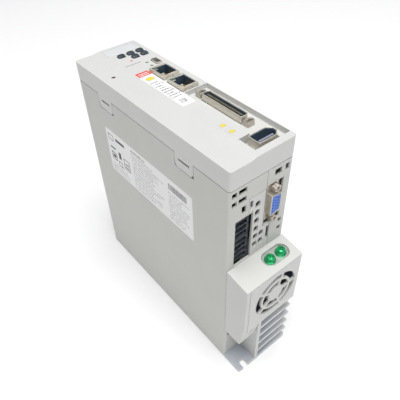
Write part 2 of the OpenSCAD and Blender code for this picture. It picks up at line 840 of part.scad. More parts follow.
// Hub cup with its shaft and slanted blades; it turns about the fan's axis
module fan_rotor() {
    color("dimgray") at_home() translate([fan_x, rotor_y, fan_z]) {
        difference() {
            rod_y([0, 0, 0], hub_r, rotor_len);
            rod_y([0, 1.5, 0], hub_r - 1.2, rotor_len);
        }
        rod_y([0, 1.4, 0], 1, 12);
        for (k = [0:blade_count - 1])
            rotate([0, k * 360 / blade_count, 0]) intersection() {
                translate([0, rotor_len / 2, 0]) rotate([38, 0, 0])
                    translate([hub_r - 0.5, -8, -0.6]) cube([rotor_r - hub_r + 1, 16, 1.2]);
                rod_y([0, 0.5, 0], rotor_r, rotor_len - 1);
            }
    }
}

// Two wires from the fan frame to their plug on the power board
module fan_lead() {
    y0 = fan_y + fan_t;
    color("firebrick") at_home() {
        for (s = [0, 1])
            rod_y([9.6 + s * 2, y0, 97.5], 0.7, 18);
        block([power_x + board_t, y0 + 17.9, 94.5], [13.4, y0 + 24, 100.5]);
    }
}

// ---------------------------------------------------------------- earth terminal

module earth_plate() {
    color("silver") at_home() difference() {
        union() {
            along_z(earth_z, earth_z + earth_plate_t) translate([earth_x, earth_y]) stadium(4.9, 5.2);
            block([earth_x - 8, earth_y, earth_z], [earth_x + 8, 12, earth_z + earth_plate_t]);
        }
        for (s = [-1, 1])
            rod_z([earth_x + s * earth_pitch / 2, earth_y, earth_z - 1], 2.05, 4);
    }
}

module earth_screws() {
    z0 = earth_z + earth_plate_t;
    color("seagreen") at_home()
        for (s = [-1, 1])
            translate([earth_x + s * earth_pitch / 2, earth_y, z0])
                difference() {
                    union() {
                        rod_z([0, 0, 0], head_r, 0.8);
                        rod_z([0, 0, 0.79], head_r - 0.5, 0.6);
                        rod_z([0, 0, 1.38], 3.3, screw_rise - 1.38);
                        rod_z([0, 0, -3.8], 2, 3.9);
                    }
                    for (a = [0, 90])
                        rotate(a) block([-2, -0.45, screw_rise - 1.3], [2, 0.45, 6]);
                    block([-4, -0.35, screw_rise - 0.6], [4, 0.35, 6]);
                }
}

// ---------------------------------------------------------------- boards and power parts

module control_board() {
    low_z = 112;
    color("darkgreen") at_home() difference() {
        along_x(control_x, control_x + board_t) polygon([
            [4, low_z], [146, low_z], [146, 178], [116.5, 178], [116.5, body_d - 8],
            [20, body_d - 8], [20, 168], [4, 168]
        ]);
        for (y = control_screw_y, z = control_screw_z)
            rod_x([control_x - 1, y, z], 1.5, 4);
    }
}

module power_board() {
    color("darkgreen") at_home() difference() {
        block([power_x, 17, 12], [power_x + board_t, 147.5, 172]);
        for (y = power_screw_y, z = power_screw_z)
            rod_x([power_x - 1, y, z], 1.5, 4);
    }
}

module board_link() {
    color("black") at_home()
        block([power_x + board_t, 30, 113], [control_x, 58, 118]);
}

module bus_capacitors() {
    color("steelblue") at_home()
        for (z = [123, 142.5, 162]) {
            rod_y([18.4, 63, z], 9, 34);
            rod_y([18.4, 62, z], 8.6, 36);
        }
}

module power_module() {
    color("dimgray") at_home() {
        block([web_x - 6, 60, 30], [web_x - 0.4, 112, 62]);
        for (k = [0:9], z = [34, 58])
            block([power_x + board_t, 64 + k * 4.8, z], [web_x - 5.9, 64.8 + k * 4.8, z + 0.8]);
    }
}

module thermal_pad() {
    color("lightpink") at_home()
        block([web_x - 0.4, 59, 29], [web_x, 113, 63]);
}

module bridge_rectifier() {
    color("black") at_home() {
        block([web_x - 4.5, 118, 30], [web_x, 136, 52]);
        for (k = [0:3])
            block([power_x + board_t, 120 + k * 4.6, 50], [web_x - 4.4, 120.9 + k * 4.6, 50.8]);
    }
}

module transformer() {
    color("khaki") at_home() {
        block([power_x + board_t, 106, 120], [23, 126, 123]);
        block([power_x + board_t, 108, 122.9], [21.6, 124, 139]);
        block([power_x + board_t, 106, 138.9], [23, 126, 142]);
        block([power_x + board_t + 2, 104, 126], [20, 128, 136]);
    }
}

module inrush_relay() {
    color("black") at_home()
        block([power_x + board_t, 24, 148], [24, 39, 168]);
}

module line_choke() {
    color("darkorange") at_home() {
        translate([17.5, 135, 156]) rotate([0, 90, 0]) rotate_extrude() translate([6.5, 0]) circle(r = 3.4);
        block([power_x + board_t, 126, 147], [10.4, 144, 165]);
        block([10.3, 134, 155], [14.8, 136, 157]);
    }
}

module control_standoffs() {
    color("goldenrod") at_home()
        for (y = control_screw_y, z = control_screw_z)
            difference() {
                rod_x([control_x + board_t, y, z], 2.6, inner_x - control_x - board_t, 6);
                rod_x([control_x, y, z], 1.25, 10);
            }
}

module power_standoffs() {
    color("goldenrod") at_home()
        for (y = power_screw_y, z = power_screw_z)
            difference() {
                union() {
                    rod_x([power_x + board_t, y, z], 2.6, web_x - power_x - board_t, 6);
                    rod_x([web_x - 0.1, y, z], 1.2, web_t - 0.2);
                }
                rod_x([power_x, y, z], 1.25, 7.4);
            }
}

module board_screws() {
    color("silver") at_home() {
        for (y = power_screw_y, z = power_screw_z) {
            rod_x([power_x - 1.8, y, z], 2.6, 1.8);
            rod_x([power_x - 0.1, y, z], 1.2, 7);
        }
        for (y = control_screw_y, z = control_screw_z) {
            rod_x([control_x - 1.8, y, z], 2.6, 1.8);
            rod_x([control_x - 0.1, y, z], 1.2, 7);
        }
    }
}

// Countersunk screws through the back plate into the housing's bosses
module case_screws() {
    color("silver") at_home()
        for (y = case_screw_y)
            translate([case_screw_x, y, 0]) difference() {
                union() {
                    rod_z([0, 0, 0.3], 2.4, 1.3);
                    rod_z([0, 0, 1.5], 1.2, 8);
                }
                for (a = [0, 90])
                    rotate(a) block([-1.4, -0.3, -1], [1.4, 0.3, 1]);
            }
}

// ---------------------------------------------------------------- labels

module rating_label() {
    color("white") at_home()
        along_x(0.02, label_t) round_rect(rating_lo, rating_hi, 2);
}

module notice_label() {
    color("white") at_home()
        along_z(body_d, body_d + label_t) round_rect([19.6, 64], [29.8, 117], 0.6);
}

module caution_labels() {
    color("yellow") at_home()
        for (y = [25.5, 33])
            along_z(body_d, body_d + label_t) round_rect([21.8, y - 3.3], [27, y + 3.3], 0.5);
}

heatsink();
housing();
front_cover();
display_window();
display_module();
mode_button();
shift_button();
up_button();
down_button();
set_button();
keypad_board();
tact_switches();
usb_shell();
usb_tongue();
charge_lamp();
status_lamps();
jack_shields();
jack_inserts();
jack_contacts();
jack_lamps();
io_shell();
io_insert();
io_contacts();
io_latches();
aux_shell();
aux_insert();
aux_contacts();
encoder_shell();
encoder_insert();
encoder_posts();
motor_header();
brake_header();
input_header();
header_blades();
vent_panel();
fan_housing();
fan_cover();
fan_frame();
fan_rotor();
fan_lead();
earth_plate();
earth_screws();
control_board();
power_board();
board_link();
bus_capacitors();
power_module();
thermal_pad();
bridge_rectifier();
transformer();
inrush_relay();
line_choke();
control_standoffs();
power_standoffs();
board_screws();
case_screws();
rating_label();
notice_label();
caution_labels();
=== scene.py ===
"""Looks of a servo drive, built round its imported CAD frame.

Lengths inside this file are in millimetres until a mesh is made, when they
become metres. A piece's place comes from the box of the CAD node that it
stands for, or of the node that it lies on. Only the ridges by the well, the
moulded bars and the studio have places of their own.
"""

import math

import bmesh
import bpy
import numpy as np
from mathutils import Matrix, Vector


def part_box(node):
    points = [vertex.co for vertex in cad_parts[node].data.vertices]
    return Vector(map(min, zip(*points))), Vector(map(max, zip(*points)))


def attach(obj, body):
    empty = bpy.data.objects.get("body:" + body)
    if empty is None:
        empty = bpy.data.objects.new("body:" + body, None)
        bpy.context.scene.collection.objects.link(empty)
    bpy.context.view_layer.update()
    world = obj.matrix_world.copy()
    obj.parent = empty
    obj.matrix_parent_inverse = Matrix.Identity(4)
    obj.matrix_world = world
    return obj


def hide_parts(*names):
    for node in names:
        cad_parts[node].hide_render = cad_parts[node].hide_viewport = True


bl_info = {
    "name": "Servo drive looks",
    "version": (1, 0, 0),
    "blender": (4, 5, 0),
    "location": "3D View > Sidebar > Servo drive",
    "description": "Shells, sockets, fan, labels and studio of a servo drive",
    "category": "Object",
}

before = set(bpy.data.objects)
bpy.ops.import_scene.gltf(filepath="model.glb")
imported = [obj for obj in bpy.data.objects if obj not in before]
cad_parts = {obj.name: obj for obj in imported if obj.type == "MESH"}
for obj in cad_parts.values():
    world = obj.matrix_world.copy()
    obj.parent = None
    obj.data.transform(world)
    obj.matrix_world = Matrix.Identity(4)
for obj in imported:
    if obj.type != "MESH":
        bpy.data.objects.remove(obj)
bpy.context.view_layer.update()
MM = 0.001
DRIVE = "drive"

# Rows (a, b, h) that turn a flat drawing (a right, b up, h outwards) to a face
FACES = {
    "front": np.array([[1, 0, 0], [0, 1, 0], [0, 0, 1]], float),
    "label side": np.array([[0, -1, 0], [0, 0, 1], [-1, 0, 0]], float),
    "connector end": np.array([[1, 0, 0], [0, 0, 1], [0, -1, 0]], float),
}


# ------------------------------------------------------------------ places


def span(node):
    """Lowest and highest corner of a CAD node, in millimetres."""
    low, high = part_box(node)
    return np.array(low) / MM, np.array(high) / MM


def islands(node):
    """Lowest and highest corners of each separate solid of a CAD node, sorted by place
    along y, then x, in millimetres."""
    mesh = merged_mesh(node, "scratch")
    count = len(mesh.vertices)
    points = np.zeros(count * 3)
    mesh.vertices.foreach_get("co", points)
    points = points.reshape(-1, 3) / MM
    edges = np.zeros(len(mesh.edges) * 2, int)
    mesh.edges.foreach_get("vertices", edges)
    edges = edges.reshape(-1, 2)
    bpy.data.meshes.remove(mesh)
    label = np.arange(count)
    while True:
        low = np.minimum(label[edges[:, 0]], label[edges[:, 1]])
        before = label.copy()
        np.minimum.at(label, edges[:, 0], low)
        np.minimum.at(label, edges[:, 1], low)
        label = label[label]
        if np.array_equal(before, label):
            break
    found = [
        (points[label == n].min(0), points[label == n].max(0)) for n in np.unique(label)
    ]
    return sorted(found, key=lambda box: (round(box[0][1], 1), round(box[0][0], 1)))


# ------------------------------------------------------------------ surfaces


def grid(points, wrap_cols=False):
    """Faces of a grid of points: quad (r, c) joins points (r, c), (r, c+1), (r+1, c+1) and
    (r+1, c); wrapped columns join the last to the first."""
    rows, cols = points.shape[:2]
    r, c = np.meshgrid(
        np.arange(rows - 1), np.arange(cols if wrap_cols else cols - 1), indexing="ij"
    )
    r, c = r.ravel(), c.ravel()
    r1, c1 = r + 1, (c + 1) % cols
    quads = np.stack([r * cols + c, r * cols + c1, r1 * cols + c1, r1 * cols + c], 1)
    return points.reshape(-1, 3), quads.tolist()


def loft(outline, rows):
    """A closed outline carried through rows (outset, share, height): each point moves
    outset along its normal, is drawn in to share of its distance from the outline's
    centre, and is lifted to height."""
    points, normals = outline
    centre = (points.min(0) + points.max(0)) / 2
    out, share, height = (np.array(rows, float)[:, n, None, None] for n in range(3))
    flat = centre + share * (points + out * normals - centre)
    lift = np.broadcast_to(height, flat.shape[:2] + (1,))
    return grid(np.concatenate([flat, lift], 2), wrap_cols=True)


def lathe(profile, turns=48, centre=(0, 0)):
    """A profile of (radius, height) pairs turned about an axis through centre: x = radius
    cos t, y = radius sin t."""
    t = np.linspace(0, 2 * np.pi, turns, endpoint=False)
    ring = np.stack([np.cos(t), np.sin(t)], 1)
    radius, height = np.array(profile, float).T
    flat = np.array(centre) + radius[:, None, None] * ring
    lift = np.broadcast_to(height[:, None, None], flat.shape[:2] + (1,))
    return grid(np.concatenate([flat, lift], 2), wrap_cols=True)


def round_corners(corners, radius, steps=6):
    """An outline with its corners rounded: at each corner an arc whose centre lies radius
    inside both sides. Gives the points and the outward normals, anticlockwise."""
    corners = np.array(corners, float)
    radii = np.broadcast_to(radius, len(corners))
    before = corners - np.roll(corners, 1, 0)
    after = np.roll(corners, -1, 0) - corners
    before /= np.linalg.norm(before, axis=1)[:, None]
    after /= np.linalg.norm(after, axis=1)[:, None]
    start = np.arctan2(-before[:, 0], before[:, 1])
    turn = np.arctan2(
        before[:, 0] * after[:, 1] - before[:, 1] * after[:, 0], (before * after).sum(1)
    )
    along = radii * np.tan(turn / 2)
    centre = corners - before * along[:, None]
    centre += radii[:, None] * np.stack([-before[:, 1], before[:, 0]], 1)
    angle = start[:, None] + turn[:, None] * np.linspace(0, 1, steps)
    normals = np.stack([np.cos(angle), np.sin(angle)], 2)
    points = centre[:, None] + radii[:, None, None] * normals
    return points.reshape(-1, 2), normals.reshape(-1, 2)


def rectangle(low, high, radius=0.5, steps=6):
    """A rectangle with round corners, between two opposite corners."""
    (x0, y0), (x1, y1) = low[:2], high[:2]
    return round_corners([(x0, y0), (x1, y0), (x1, y1), (x0, y1)], radius, steps)


def pin_profile(radius, cut, low, bevel, high):
    """Profile of a plain pin whose lower end is bevelled."""
    return [(0, low), (radius - cut, low), (radius, low + bevel), (radius, high), (0, high)]


def circle(centre, radius, turns=32):
    """A circle, as an outline."""
    t = np.linspace(0, 2 * np.pi, turns, endpoint=False)
    normals = np.stack([np.cos(t), np.sin(t)], 1)
    return np.array(centre) + radius * normals, normals


def arc(centre, reach, start, end, steps):
    """Points on an arc: centre + reach (cos q, sin q), with q in quarter turns from start
    to end."""
    turns = np.linspace(start, end, steps) * np.pi / 2
    return [(centre[0] + reach[0] * np.cos(q), centre[1] + reach[1] * np.sin(q)) for q in turns]


def plate(outline, low, high, edge=0.1):
    """A flat plate: the outline between two heights, its upper edge rounded by a quarter
    circle of radius edge."""
    rim = [(x, 1, z) for x, z in arc((-edge, high - edge), (edge, edge), 0, 1, 4)]
    return loft(outline, [(0, 0, low), (0, 1, low), *rim, (-edge, 0.5, high), (-edge, 0, high)])


def collar(outline, low, high, thick):
    """A thin wall that follows an outline, open at both ends, with a half-round rim of
    diameter thick."""
    half = thick / 2
    rim = [(x, 1, z) for x, z in arc((-half, high - half), (half, half), 0, 2, 7)]
    rows = [(0, 1, low), (0, 1, high - 3 * half), *rim, (-thick, 1, high - 3 * half), (-thick, 1, low)]
    points, quads = loft(outline, rows)
    cols, count = len(outline[0]), len(rows)
    n = np.arange(cols)
    foot = np.stack([(count - 1) * cols + n, (count - 1) * cols + (n + 1) % cols, (n + 1) % cols, n], 1)
    return points, quads + foot.tolist()


def ribbon(path, side, width, thick):
    """A flat strip along a path: its section is a rectangle with cut corners, width along
    side and thick across it, carried along the path's tangents."""
    path, side = np.array(path, float), np.array(side, float)
    tangent = np.gradient(path, axis=0)
    tangent /= np.linalg.norm(tangent, axis=1)[:, None]
    across = np.cross(tangent, side)
    w, t, cut = width / 2, thick / 2, min(width, thick) * 0.2
    section = np.array([
        (w, t - cut), (w - cut, t), (cut - w, t), (-w, t - cut),
        (-w, cut - t), (cut - w, -t), (w - cut, -t), (w, cut - t),
    ])
    points = path[:, None] + section[:, :1] * side + section[:, 1:] * across[:, None]
    verts, quads = grid(points, wrap_cols=True)
    last = len(verts) - len(section)
    return verts, quads + [list(range(8)), list(range(last + 7, last - 1, -1))]


def boxes(low, high):
    """Upright boxes between two lists of opposite corners, as one mesh."""
    low, high = np.atleast_2d(low).astype(float), np.atleast_2d(high).astype(float)
    pick = np.array([[0, 0, 0], [1, 0, 0], [1, 1, 0], [0, 1, 0], [0, 0, 1], [1, 0, 1], [1, 1, 1], [0, 1, 1]])
    points = np.where(pick[None], high[:, None], low[:, None])
    sides = np.array([[0, 3, 2, 1], [4, 5, 6, 7], [0, 1, 5, 4], [1, 2, 6, 5], [2, 3, 7, 6], [3, 0, 4, 7]])
    faces = sides[None] + 8 * np.arange(len(low))[:, None, None]
    return points.reshape(-1, 3), faces.reshape(-1, 4).tolist()


def joined(parts):
    """Several meshes as one list of points and one of faces."""
    points, faces, first = [], [], 0
    for verts, polys in parts:
        points.append(np.asarray(verts))
        faces += [[first + i for i in poly] for poly in polys]
        first += len(verts)
    return np.concatenate(points), faces


def repeated(part, offsets):
    """The same mesh at each offset."""
    verts, faces = part
    offsets = np.atleast_2d(offsets)
    polys = [[n * len(verts) + i for i in f] for n in range(len(offsets)) for f in faces]
    return (np.asarray(verts)[None] + offsets[:, None]).reshape(-1, 3), polys


def faced(part, face, at=(0, 0, 0)):
    """A mesh drawn flat (a right, b up, h outwards), laid on one face of the drive with
    its origin at a point."""
    return np.asarray(part[0]) @ FACES[face] + np.array(at), part[1]


# ------------------------------------------------------------------ objects

# Size in millimetres of the cells that an eased mesh is cut into
CELL = 6.0
# An edge is eased where its two faces meet at more than this angle in degrees
EASED_FROM = 30
# A face this many bevel widths across has room for the whole bevel
ROOM = 2.2
# Edges shorter than this, in millimetres, belong to a curve
SHORT_EDGE = 2.5
# Edges whose directions have at least this cosine carry each other on
CARRIED_ON = 0.7
# Passes that carry the widest bevel along a curve
CURVE_STEPS = 12


def as_object(name, mesh, look, body=DRIVE, stands_for=()):
    """Puts a finished mesh into the scene with its finish and body."""
    piece = bpy.data.objects.new(name, mesh)
    bpy.context.scene.collection.objects.link(piece)
    mesh.materials.clear()
    mesh.materials.append(finish(look))
    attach(piece, body)
    if stands_for:
        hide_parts(*stands_for)
    return piece


def smooth(mesh, sharp=34):
    """Shades a mesh smooth except across edges sharper than an angle."""
    mesh.shade_smooth()
    mesh.set_sharp_from_angle(angle=math.radians(sharp))


def make(name, parts, look, body=DRIVE, stands_for=()):
    """A new piece from computed surfaces: poles merged, faces turned outwards."""
    points, faces = joined(parts)
    mesh = bpy.data.meshes.new(name)
    mesh.from_pydata(points * MM, [], faces)
    work = bmesh.new()
    work.from_mesh(mesh)
    bmesh.ops.remove_doubles(work, verts=work.verts, dist=1e-7)
    bmesh.ops.dissolve_degenerate(work, edges=work.edges, dist=1e-8)
    bmesh.ops.recalc_face_normals(work, faces=work.faces)
    work.to_mesh(mesh)
    work.free()
    smooth(mesh)
    return as_object(name, mesh, look, body, stands_for)


def merged_mesh(node, name, cell=0.0):
    """A copy of a CAD node's mesh with its doubles merged, and cut into cells if a cell
    size is given."""
    mesh = bpy.data.meshes.new(name)
    work = bmesh.new()
    work.from_mesh(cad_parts[node].data)
    bmesh.ops.remove_doubles(work, verts=work.verts, dist=2e-6)
    bmesh.ops.dissolve_degenerate(work, edges=work.edges, dist=1e-6)
    if cell:
        cut_to_cells(work, cell * MM)
    work.to_mesh(mesh)
    work.free()
    for layer in [a for a in mesh.attributes if a.name == "custom_normal"]:
        mesh.attributes.remove(layer)
    return mesh


def cut_to_cells(work, cell):
    """Cuts a mesh along evenly spaced planes, each moved to the widest gap between points,
    and makes the flat triangles of a cell into few well-shaped faces, so that no bevel
    slides along a long thin one."""
    flat = math.radians(0.6)
    for axis in range(3):
        across = Vector([float(axis == k) for k in range(3)])
        places = np.array([vertex.co[axis] for vertex in work.verts])
        low, high = places.min(), places.max()
        pitch = (high - low) / max(1, round((high - low) / cell))
        for nominal in np.arange(low + pitch, high - pitch / 2, pitch):
            near = nominal + np.array([-0.45, 0.45]) * pitch
            inside = np.unique(places[(places > near[0]) & (places < near[1])])
            stops = np.concatenate([near[:1], inside, near[1:]])
            widest = np.argmax(np.diff(stops))
            level = float(stops[widest] + stops[widest + 1]) / 2
            everything = work.verts[:] + work.edges[:] + work.faces[:]
            cut = bmesh.ops.bisect_plane(
                work, geom=everything, dist=1e-6, plane_co=across * level, plane_no=across
            )
            for edge in cut["geom_cut"]:
                if isinstance(edge, bmesh.types.BMEdge):
                    edge.seam = True
    bmesh.ops.dissolve_limit(
        work, angle_limit=flat, verts=work.verts, edges=work.edges, delimit={"SEAM"}
    )
    bmesh.ops.triangulate(work, faces=work.faces, quad_method="BEAUTY", ngon_method="BEAUTY")
    bmesh.ops.join_triangles(
        work, faces=work.faces, cmp_seam=True,
        angle_face_threshold=flat, angle_shape_threshold=math.radians(50),
    )


def weigh_edges(mesh, width, angle):
    """Gives each edge a bevel weight: 1 where two faces meet more sharply than an angle,
    and less where the narrower of them has too little room for the bevel. The short
    edges of a curve take the widest bevel of the edges that they carry on."""
    work = bmesh.new()
    work.from_mesh(mesh)
    weight = work.edges.layers.float.new("bevel_weight_edge")
    bevelled = {}
    for edge in work.edges:
        if len(edge.link_faces) != 2 or edge.calc_face_angle() < angle:
            continue
        start = edge.verts[0].co
        along = (edge.verts[1].co - start).normalized()
        reach = [max((v.co - start).cross(along).length for v in f.verts) for f in edge.link_faces]
        edge[weight] = min(1.0, min(reach) / (ROOM * width))
        bevelled[edge] = along
    curve = [edge for edge in bevelled if edge.calc_length() < SHORT_EDGE * MM]
    carried_on = {
        edge: [
            other for vertex in edge.verts for other in vertex.link_edges
            if other in bevelled and abs(bevelled[other].dot(bevelled[edge])) > CARRIED_ON
        ]
        for edge in curve
    }
    for step in range(CURVE_STEPS):
        for edge in curve:
            edge[weight] = max(other[weight] for other in carried_on[edge])
    work.to_mesh(mesh)
    work.free()


def eased(name, node, edge, look, steps=2, sharp=30):
    """A moulded or machined copy of a CAD node whose edges are eased by a small radius."""
    mesh = merged_mesh(node, name, CELL)
    weigh_edges(mesh, edge * MM, math.radians(EASED_FROM))
    smooth(mesh, sharp)
    piece = as_object(name, mesh, look, stands_for=[node])
    bevel = piece.modifiers.new("Eased edges", "BEVEL")
    bevel.width = edge * MM
    bevel.segments = steps
    bevel.limit_method = "WEIGHT"
    bevel.use_clamp_overlap = False
    bevel.loop_slide = False
    bevel.miter_outer = "MITER_SHARP"
    weighted = piece.modifiers.new("Flat faces stay flat", "WEIGHTED_NORMAL")
    weighted.keep_sharp = True
    weighted.weight = 80
    return piece


# ------------------------------------------------------------------ shader parts

# Depth in millimetres of the hollow between two fins
FIN_DEPTH = 26
# Bluish tint of the painted shade between the fins, laid on at 0.6 of its value
FIN_SHADE_TINT = (0.62, 0.68, 0.77)
DUST_COLOUR = (0.62, 0.6, 0.56, 1.0)
# A rubbed edge goes this share of the way to this pale tone
RUBBED_TONE = 0.85
RUBBED_SHARE = 0.35


def node(tree, kind, inputs=None, **settings):
    """Adds a shader node; an input given as a socket is linked, as a value is set."""
    made = tree.nodes.new(kind)
    for key, value in settings.items():
        setattr(made, key, value)
    for key, value in (inputs or {}).items():
        if isinstance(value, bpy.types.NodeSocket):
            tree.links.new(value, made.inputs[key])
        else:
            made.inputs[key].default_value = value
    return made


def noise(tree, vector, scale, detail, roughness=0.5, distortion=0.0):
    """A Noise Texture node's value."""
    inputs = {"Vector": vector, "Scale": scale, "Detail": detail}
    inputs.update({"Roughness": roughness, "Distortion": distortion})
    return node(tree, "ShaderNodeTexNoise", inputs).outputs["Fac"]


def mixed(tree, share, first, second):
    """A Mix node's value."""
    return node(tree, "ShaderNodeMix", {0: share, 2: first, 3: second}).outputs[0]


def maths(tree, operation, a, b=0.0, clamp=False):
    """A Math node's output."""
    made = node(tree, "ShaderNodeMath", {0: a, 1: b}, operation=operation, use_clamp=clamp)
    return made.outputs[0]


def between(tree, value, low, high, to_low=0.0, to_high=1.0):
    """A Map Range node's output, clamped."""
    inputs = {"Value": value, "From Min": low, "From Max": high, "To Min": to_low, "To Max": to_high}
    return node(tree, "ShaderNodeMapRange", inputs).outputs["Result"]


def blended(tree, share, first, second):
    """A colour Mix node's output."""
    made = node(tree, "ShaderNodeMix", {0: share, 6: first, 7: second}, data_type="RGBA")
    return made.outputs[2]


def laid_over(tree, base, mask, amount, colour):
    """A colour laid over another where a mask says, by an amount."""
    return blended(tree, maths(tree, "MULTIPLY", mask, amount), base, colour)


def new_group(name, inputs, outputs):
    """An empty node group with named sockets; gives its tree, its input sockets and its
    output node."""
    tree = bpy.data.node_groups.new(name, "ShaderNodeTree")
    for title, kind, value in inputs:
        socket = tree.interface.new_socket(title, in_out="INPUT", socket_type="NodeSocket" + kind)
        if value is not None:
            socket.default_value = value
    for title, kind in outputs:
        tree.interface.new_socket(title, in_out="OUTPUT", socket_type="NodeSocket" + kind)
    ins = tree.nodes.new("NodeGroupInput")
    return tree, ins.outputs, tree.nodes.new("NodeGroupOutput")


def group_grain():
    """Spark-eroded or cast grain: fine noise and rounded cells mixed for the height, and
    the same noise at a coarser scale for the tone."""
    tree, ins, out = new_group(
        "Grain",
        [("Vector", "Vector", None), ("Scale", "Float", 3000.0), ("Cells", "Float", 0.4)],
        [("Tone", "Float"), ("Height", "Float")],
    )
    fine = noise(tree, ins["Vector"], ins["Scale"], 3.0, 0.6)
    broad = noise(tree, ins["Vector"], maths(tree, "MULTIPLY", ins["Scale"], 0.13), 5.0)
    cell_scale = maths(tree, "MULTIPLY", ins["Scale"], 0.55)
    cells = node(
        tree, "ShaderNodeTexVoronoi",
        {"Vector": ins["Vector"], "Scale": cell_scale}, feature="SMOOTH_F1",
    )
    height = mixed(tree, ins["Cells"], fine, cells.outputs["Distance"])
    tree.links.new(height, out.inputs["Height"])
    tree.links.new(mixed(tree, 0.35, broad, fine), out.inputs["Tone"])
    return tree


def group_handling():
    """Marks of handling: soft blotches a few centimetres wide and rare long scuffs,
    thresholded from stretched noise."""
    tree, ins, out = new_group(
        "Handling",
        [("Vector", "Vector", None), ("Blotch Scale", "Float", 28.0), ("Scuff Scale", "Float", 160.0)],
        [("Blotch", "Float"), ("Scuff", "Float")],
    )
    soft = noise(tree, ins["Vector"], ins["Blotch Scale"], 3.0, distortion=0.6)
    tree.links.new(between(tree, soft, 0.3, 0.7), out.inputs["Blotch"])
    turned = node(
        tree, "ShaderNodeMapping",
        {"Vector": ins["Vector"], "Rotation": (0.5, 0.35, 0.8), "Scale": (1.0, 14.0, 9.0)},
    )
    lines = between(tree, noise(tree, turned.outputs[0], ins["Scuff Scale"], 2.0), 0.66, 0.72)
    place = between(tree, noise(tree, ins["Vector"], 55.0, 1.0), 0.55, 0.65)
    tree.links.new(maths(tree, "MULTIPLY", lines, place), out.inputs["Scuff"])
    return tree


def group_edge_wear_and_crease_shade():
    """Where edges are rubbed: high pointiness broken up by noise; and the opposite,
    low pointiness in creases, which the finishes darken as painted shade."""
    tree, ins, out = new_group(
        "Edge wear and crease shade",
        [("Vector", "Vector", None), ("Reach", "Float", 0.05)],
        [("Edge", "Float"), ("Crease", "Float")],
    )
    point = tree.nodes.new("ShaderNodeNewGeometry").outputs["Pointiness"]
    broken = between(tree, noise(tree, ins["Vector"], 420.0, 4.0), 0.35, 0.6)
    top = maths(tree, "ADD", 0.51, ins["Reach"])
    edge = maths(tree, "MULTIPLY", between(tree, point, 0.51, top), broken)
    tree.links.new(edge, out.inputs["Edge"])
    low = maths(tree, "SUBTRACT", 0.49, ins["Reach"])
    tree.links.new(between(tree, point, 0.49, low), out.inputs["Crease"])
    return tree


def group_dust():
    """Dust that settles on what faces up: the normal's z, times clumped noise."""
    tree, ins, out = new_group(
        "Dust", [("Vector", "Vector", None), ("Scale", "Float", 700.0)], [("Mask", "Float")]
    )
    normal = tree.nodes.new("ShaderNodeNewGeometry").outputs["Normal"]
    split = node(tree, "ShaderNodeSeparateXYZ", {0: normal})
    up = between(tree, split.outputs["Z"], 0.2, 0.9)
    specks = between(tree, noise(tree, ins["Vector"], ins["Scale"], 6.0, 0.7), 0.5, 0.75)
    clumps = between(tree, noise(tree, ins["Vector"], 40.0, 2.0), 0.35, 0.7)
    both = maths(tree, "MULTIPLY", specks, clumps)
    tree.links.new(maths(tree, "MULTIPLY", up, both), out.inputs["Mask"])
    return tree


def group_drawn():
    """Drawing or turning lines on metal: noise squeezed thin along one direction."""
    tree, ins, out = new_group(
        "Drawn metal",
        [("Vector", "Vector", None), ("Stretch", "Vector", (1.0, 1.0, 0.05)), ("Scale", "Float", 5000.0)],
        [("Line", "Float")],
    )
    squeezed = node(
        tree, "ShaderNodeVectorMath",
        {0: ins["Vector"], 1: ins["Stretch"]}, operation="MULTIPLY",
    )
    tree.links.new(noise(tree, squeezed.outputs[0], ins["Scale"], 3.0), out.inputs["Line"])
    return tree


def group_fin_shade():
    """Painted shade between the fins: deepest at the web and fading towards the tips, and only
    on faces that look along the drive's depth."""
    high = span("heatsink")[1]
    tree, ins, out = new_group("Hollow", [("Vector", "Vector", None)], [("Mask", "Float")])
    across = node(tree, "ShaderNodeSeparateXYZ", {0: ins["Vector"]}).outputs["X"]
    deep = between(tree, across, high[0] * MM, (high[0] - FIN_DEPTH) * MM, 0.15, 0.85)
    normal = tree.nodes.new("ShaderNodeNewGeometry").outputs["Normal"]
    level = maths(tree, "ABSOLUTE", node(tree, "ShaderNodeSeparateXYZ", {0: normal}).outputs["Z"])
    facing = between(tree, level, 0.6, 0.95)
    tree.links.new(maths(tree, "MULTIPLY", deep, facing), out.inputs["Mask"])
    return tree


GROUPS = {
    "Grain": group_grain, "Handling": group_handling, "Edge wear and crease shade": group_edge_wear_and_crease_shade,
    "Dust": group_dust, "Drawn metal": group_drawn, "Hollow": group_fin_shade,
}


def effect(tree, name, inputs):
    """Places a shared effect in a material, with its own values."""
    shared = bpy.data.node_groups.get(name) or GROUPS[name]()
    return node(tree, "ShaderNodeGroup", inputs, node_tree=shared).outputs
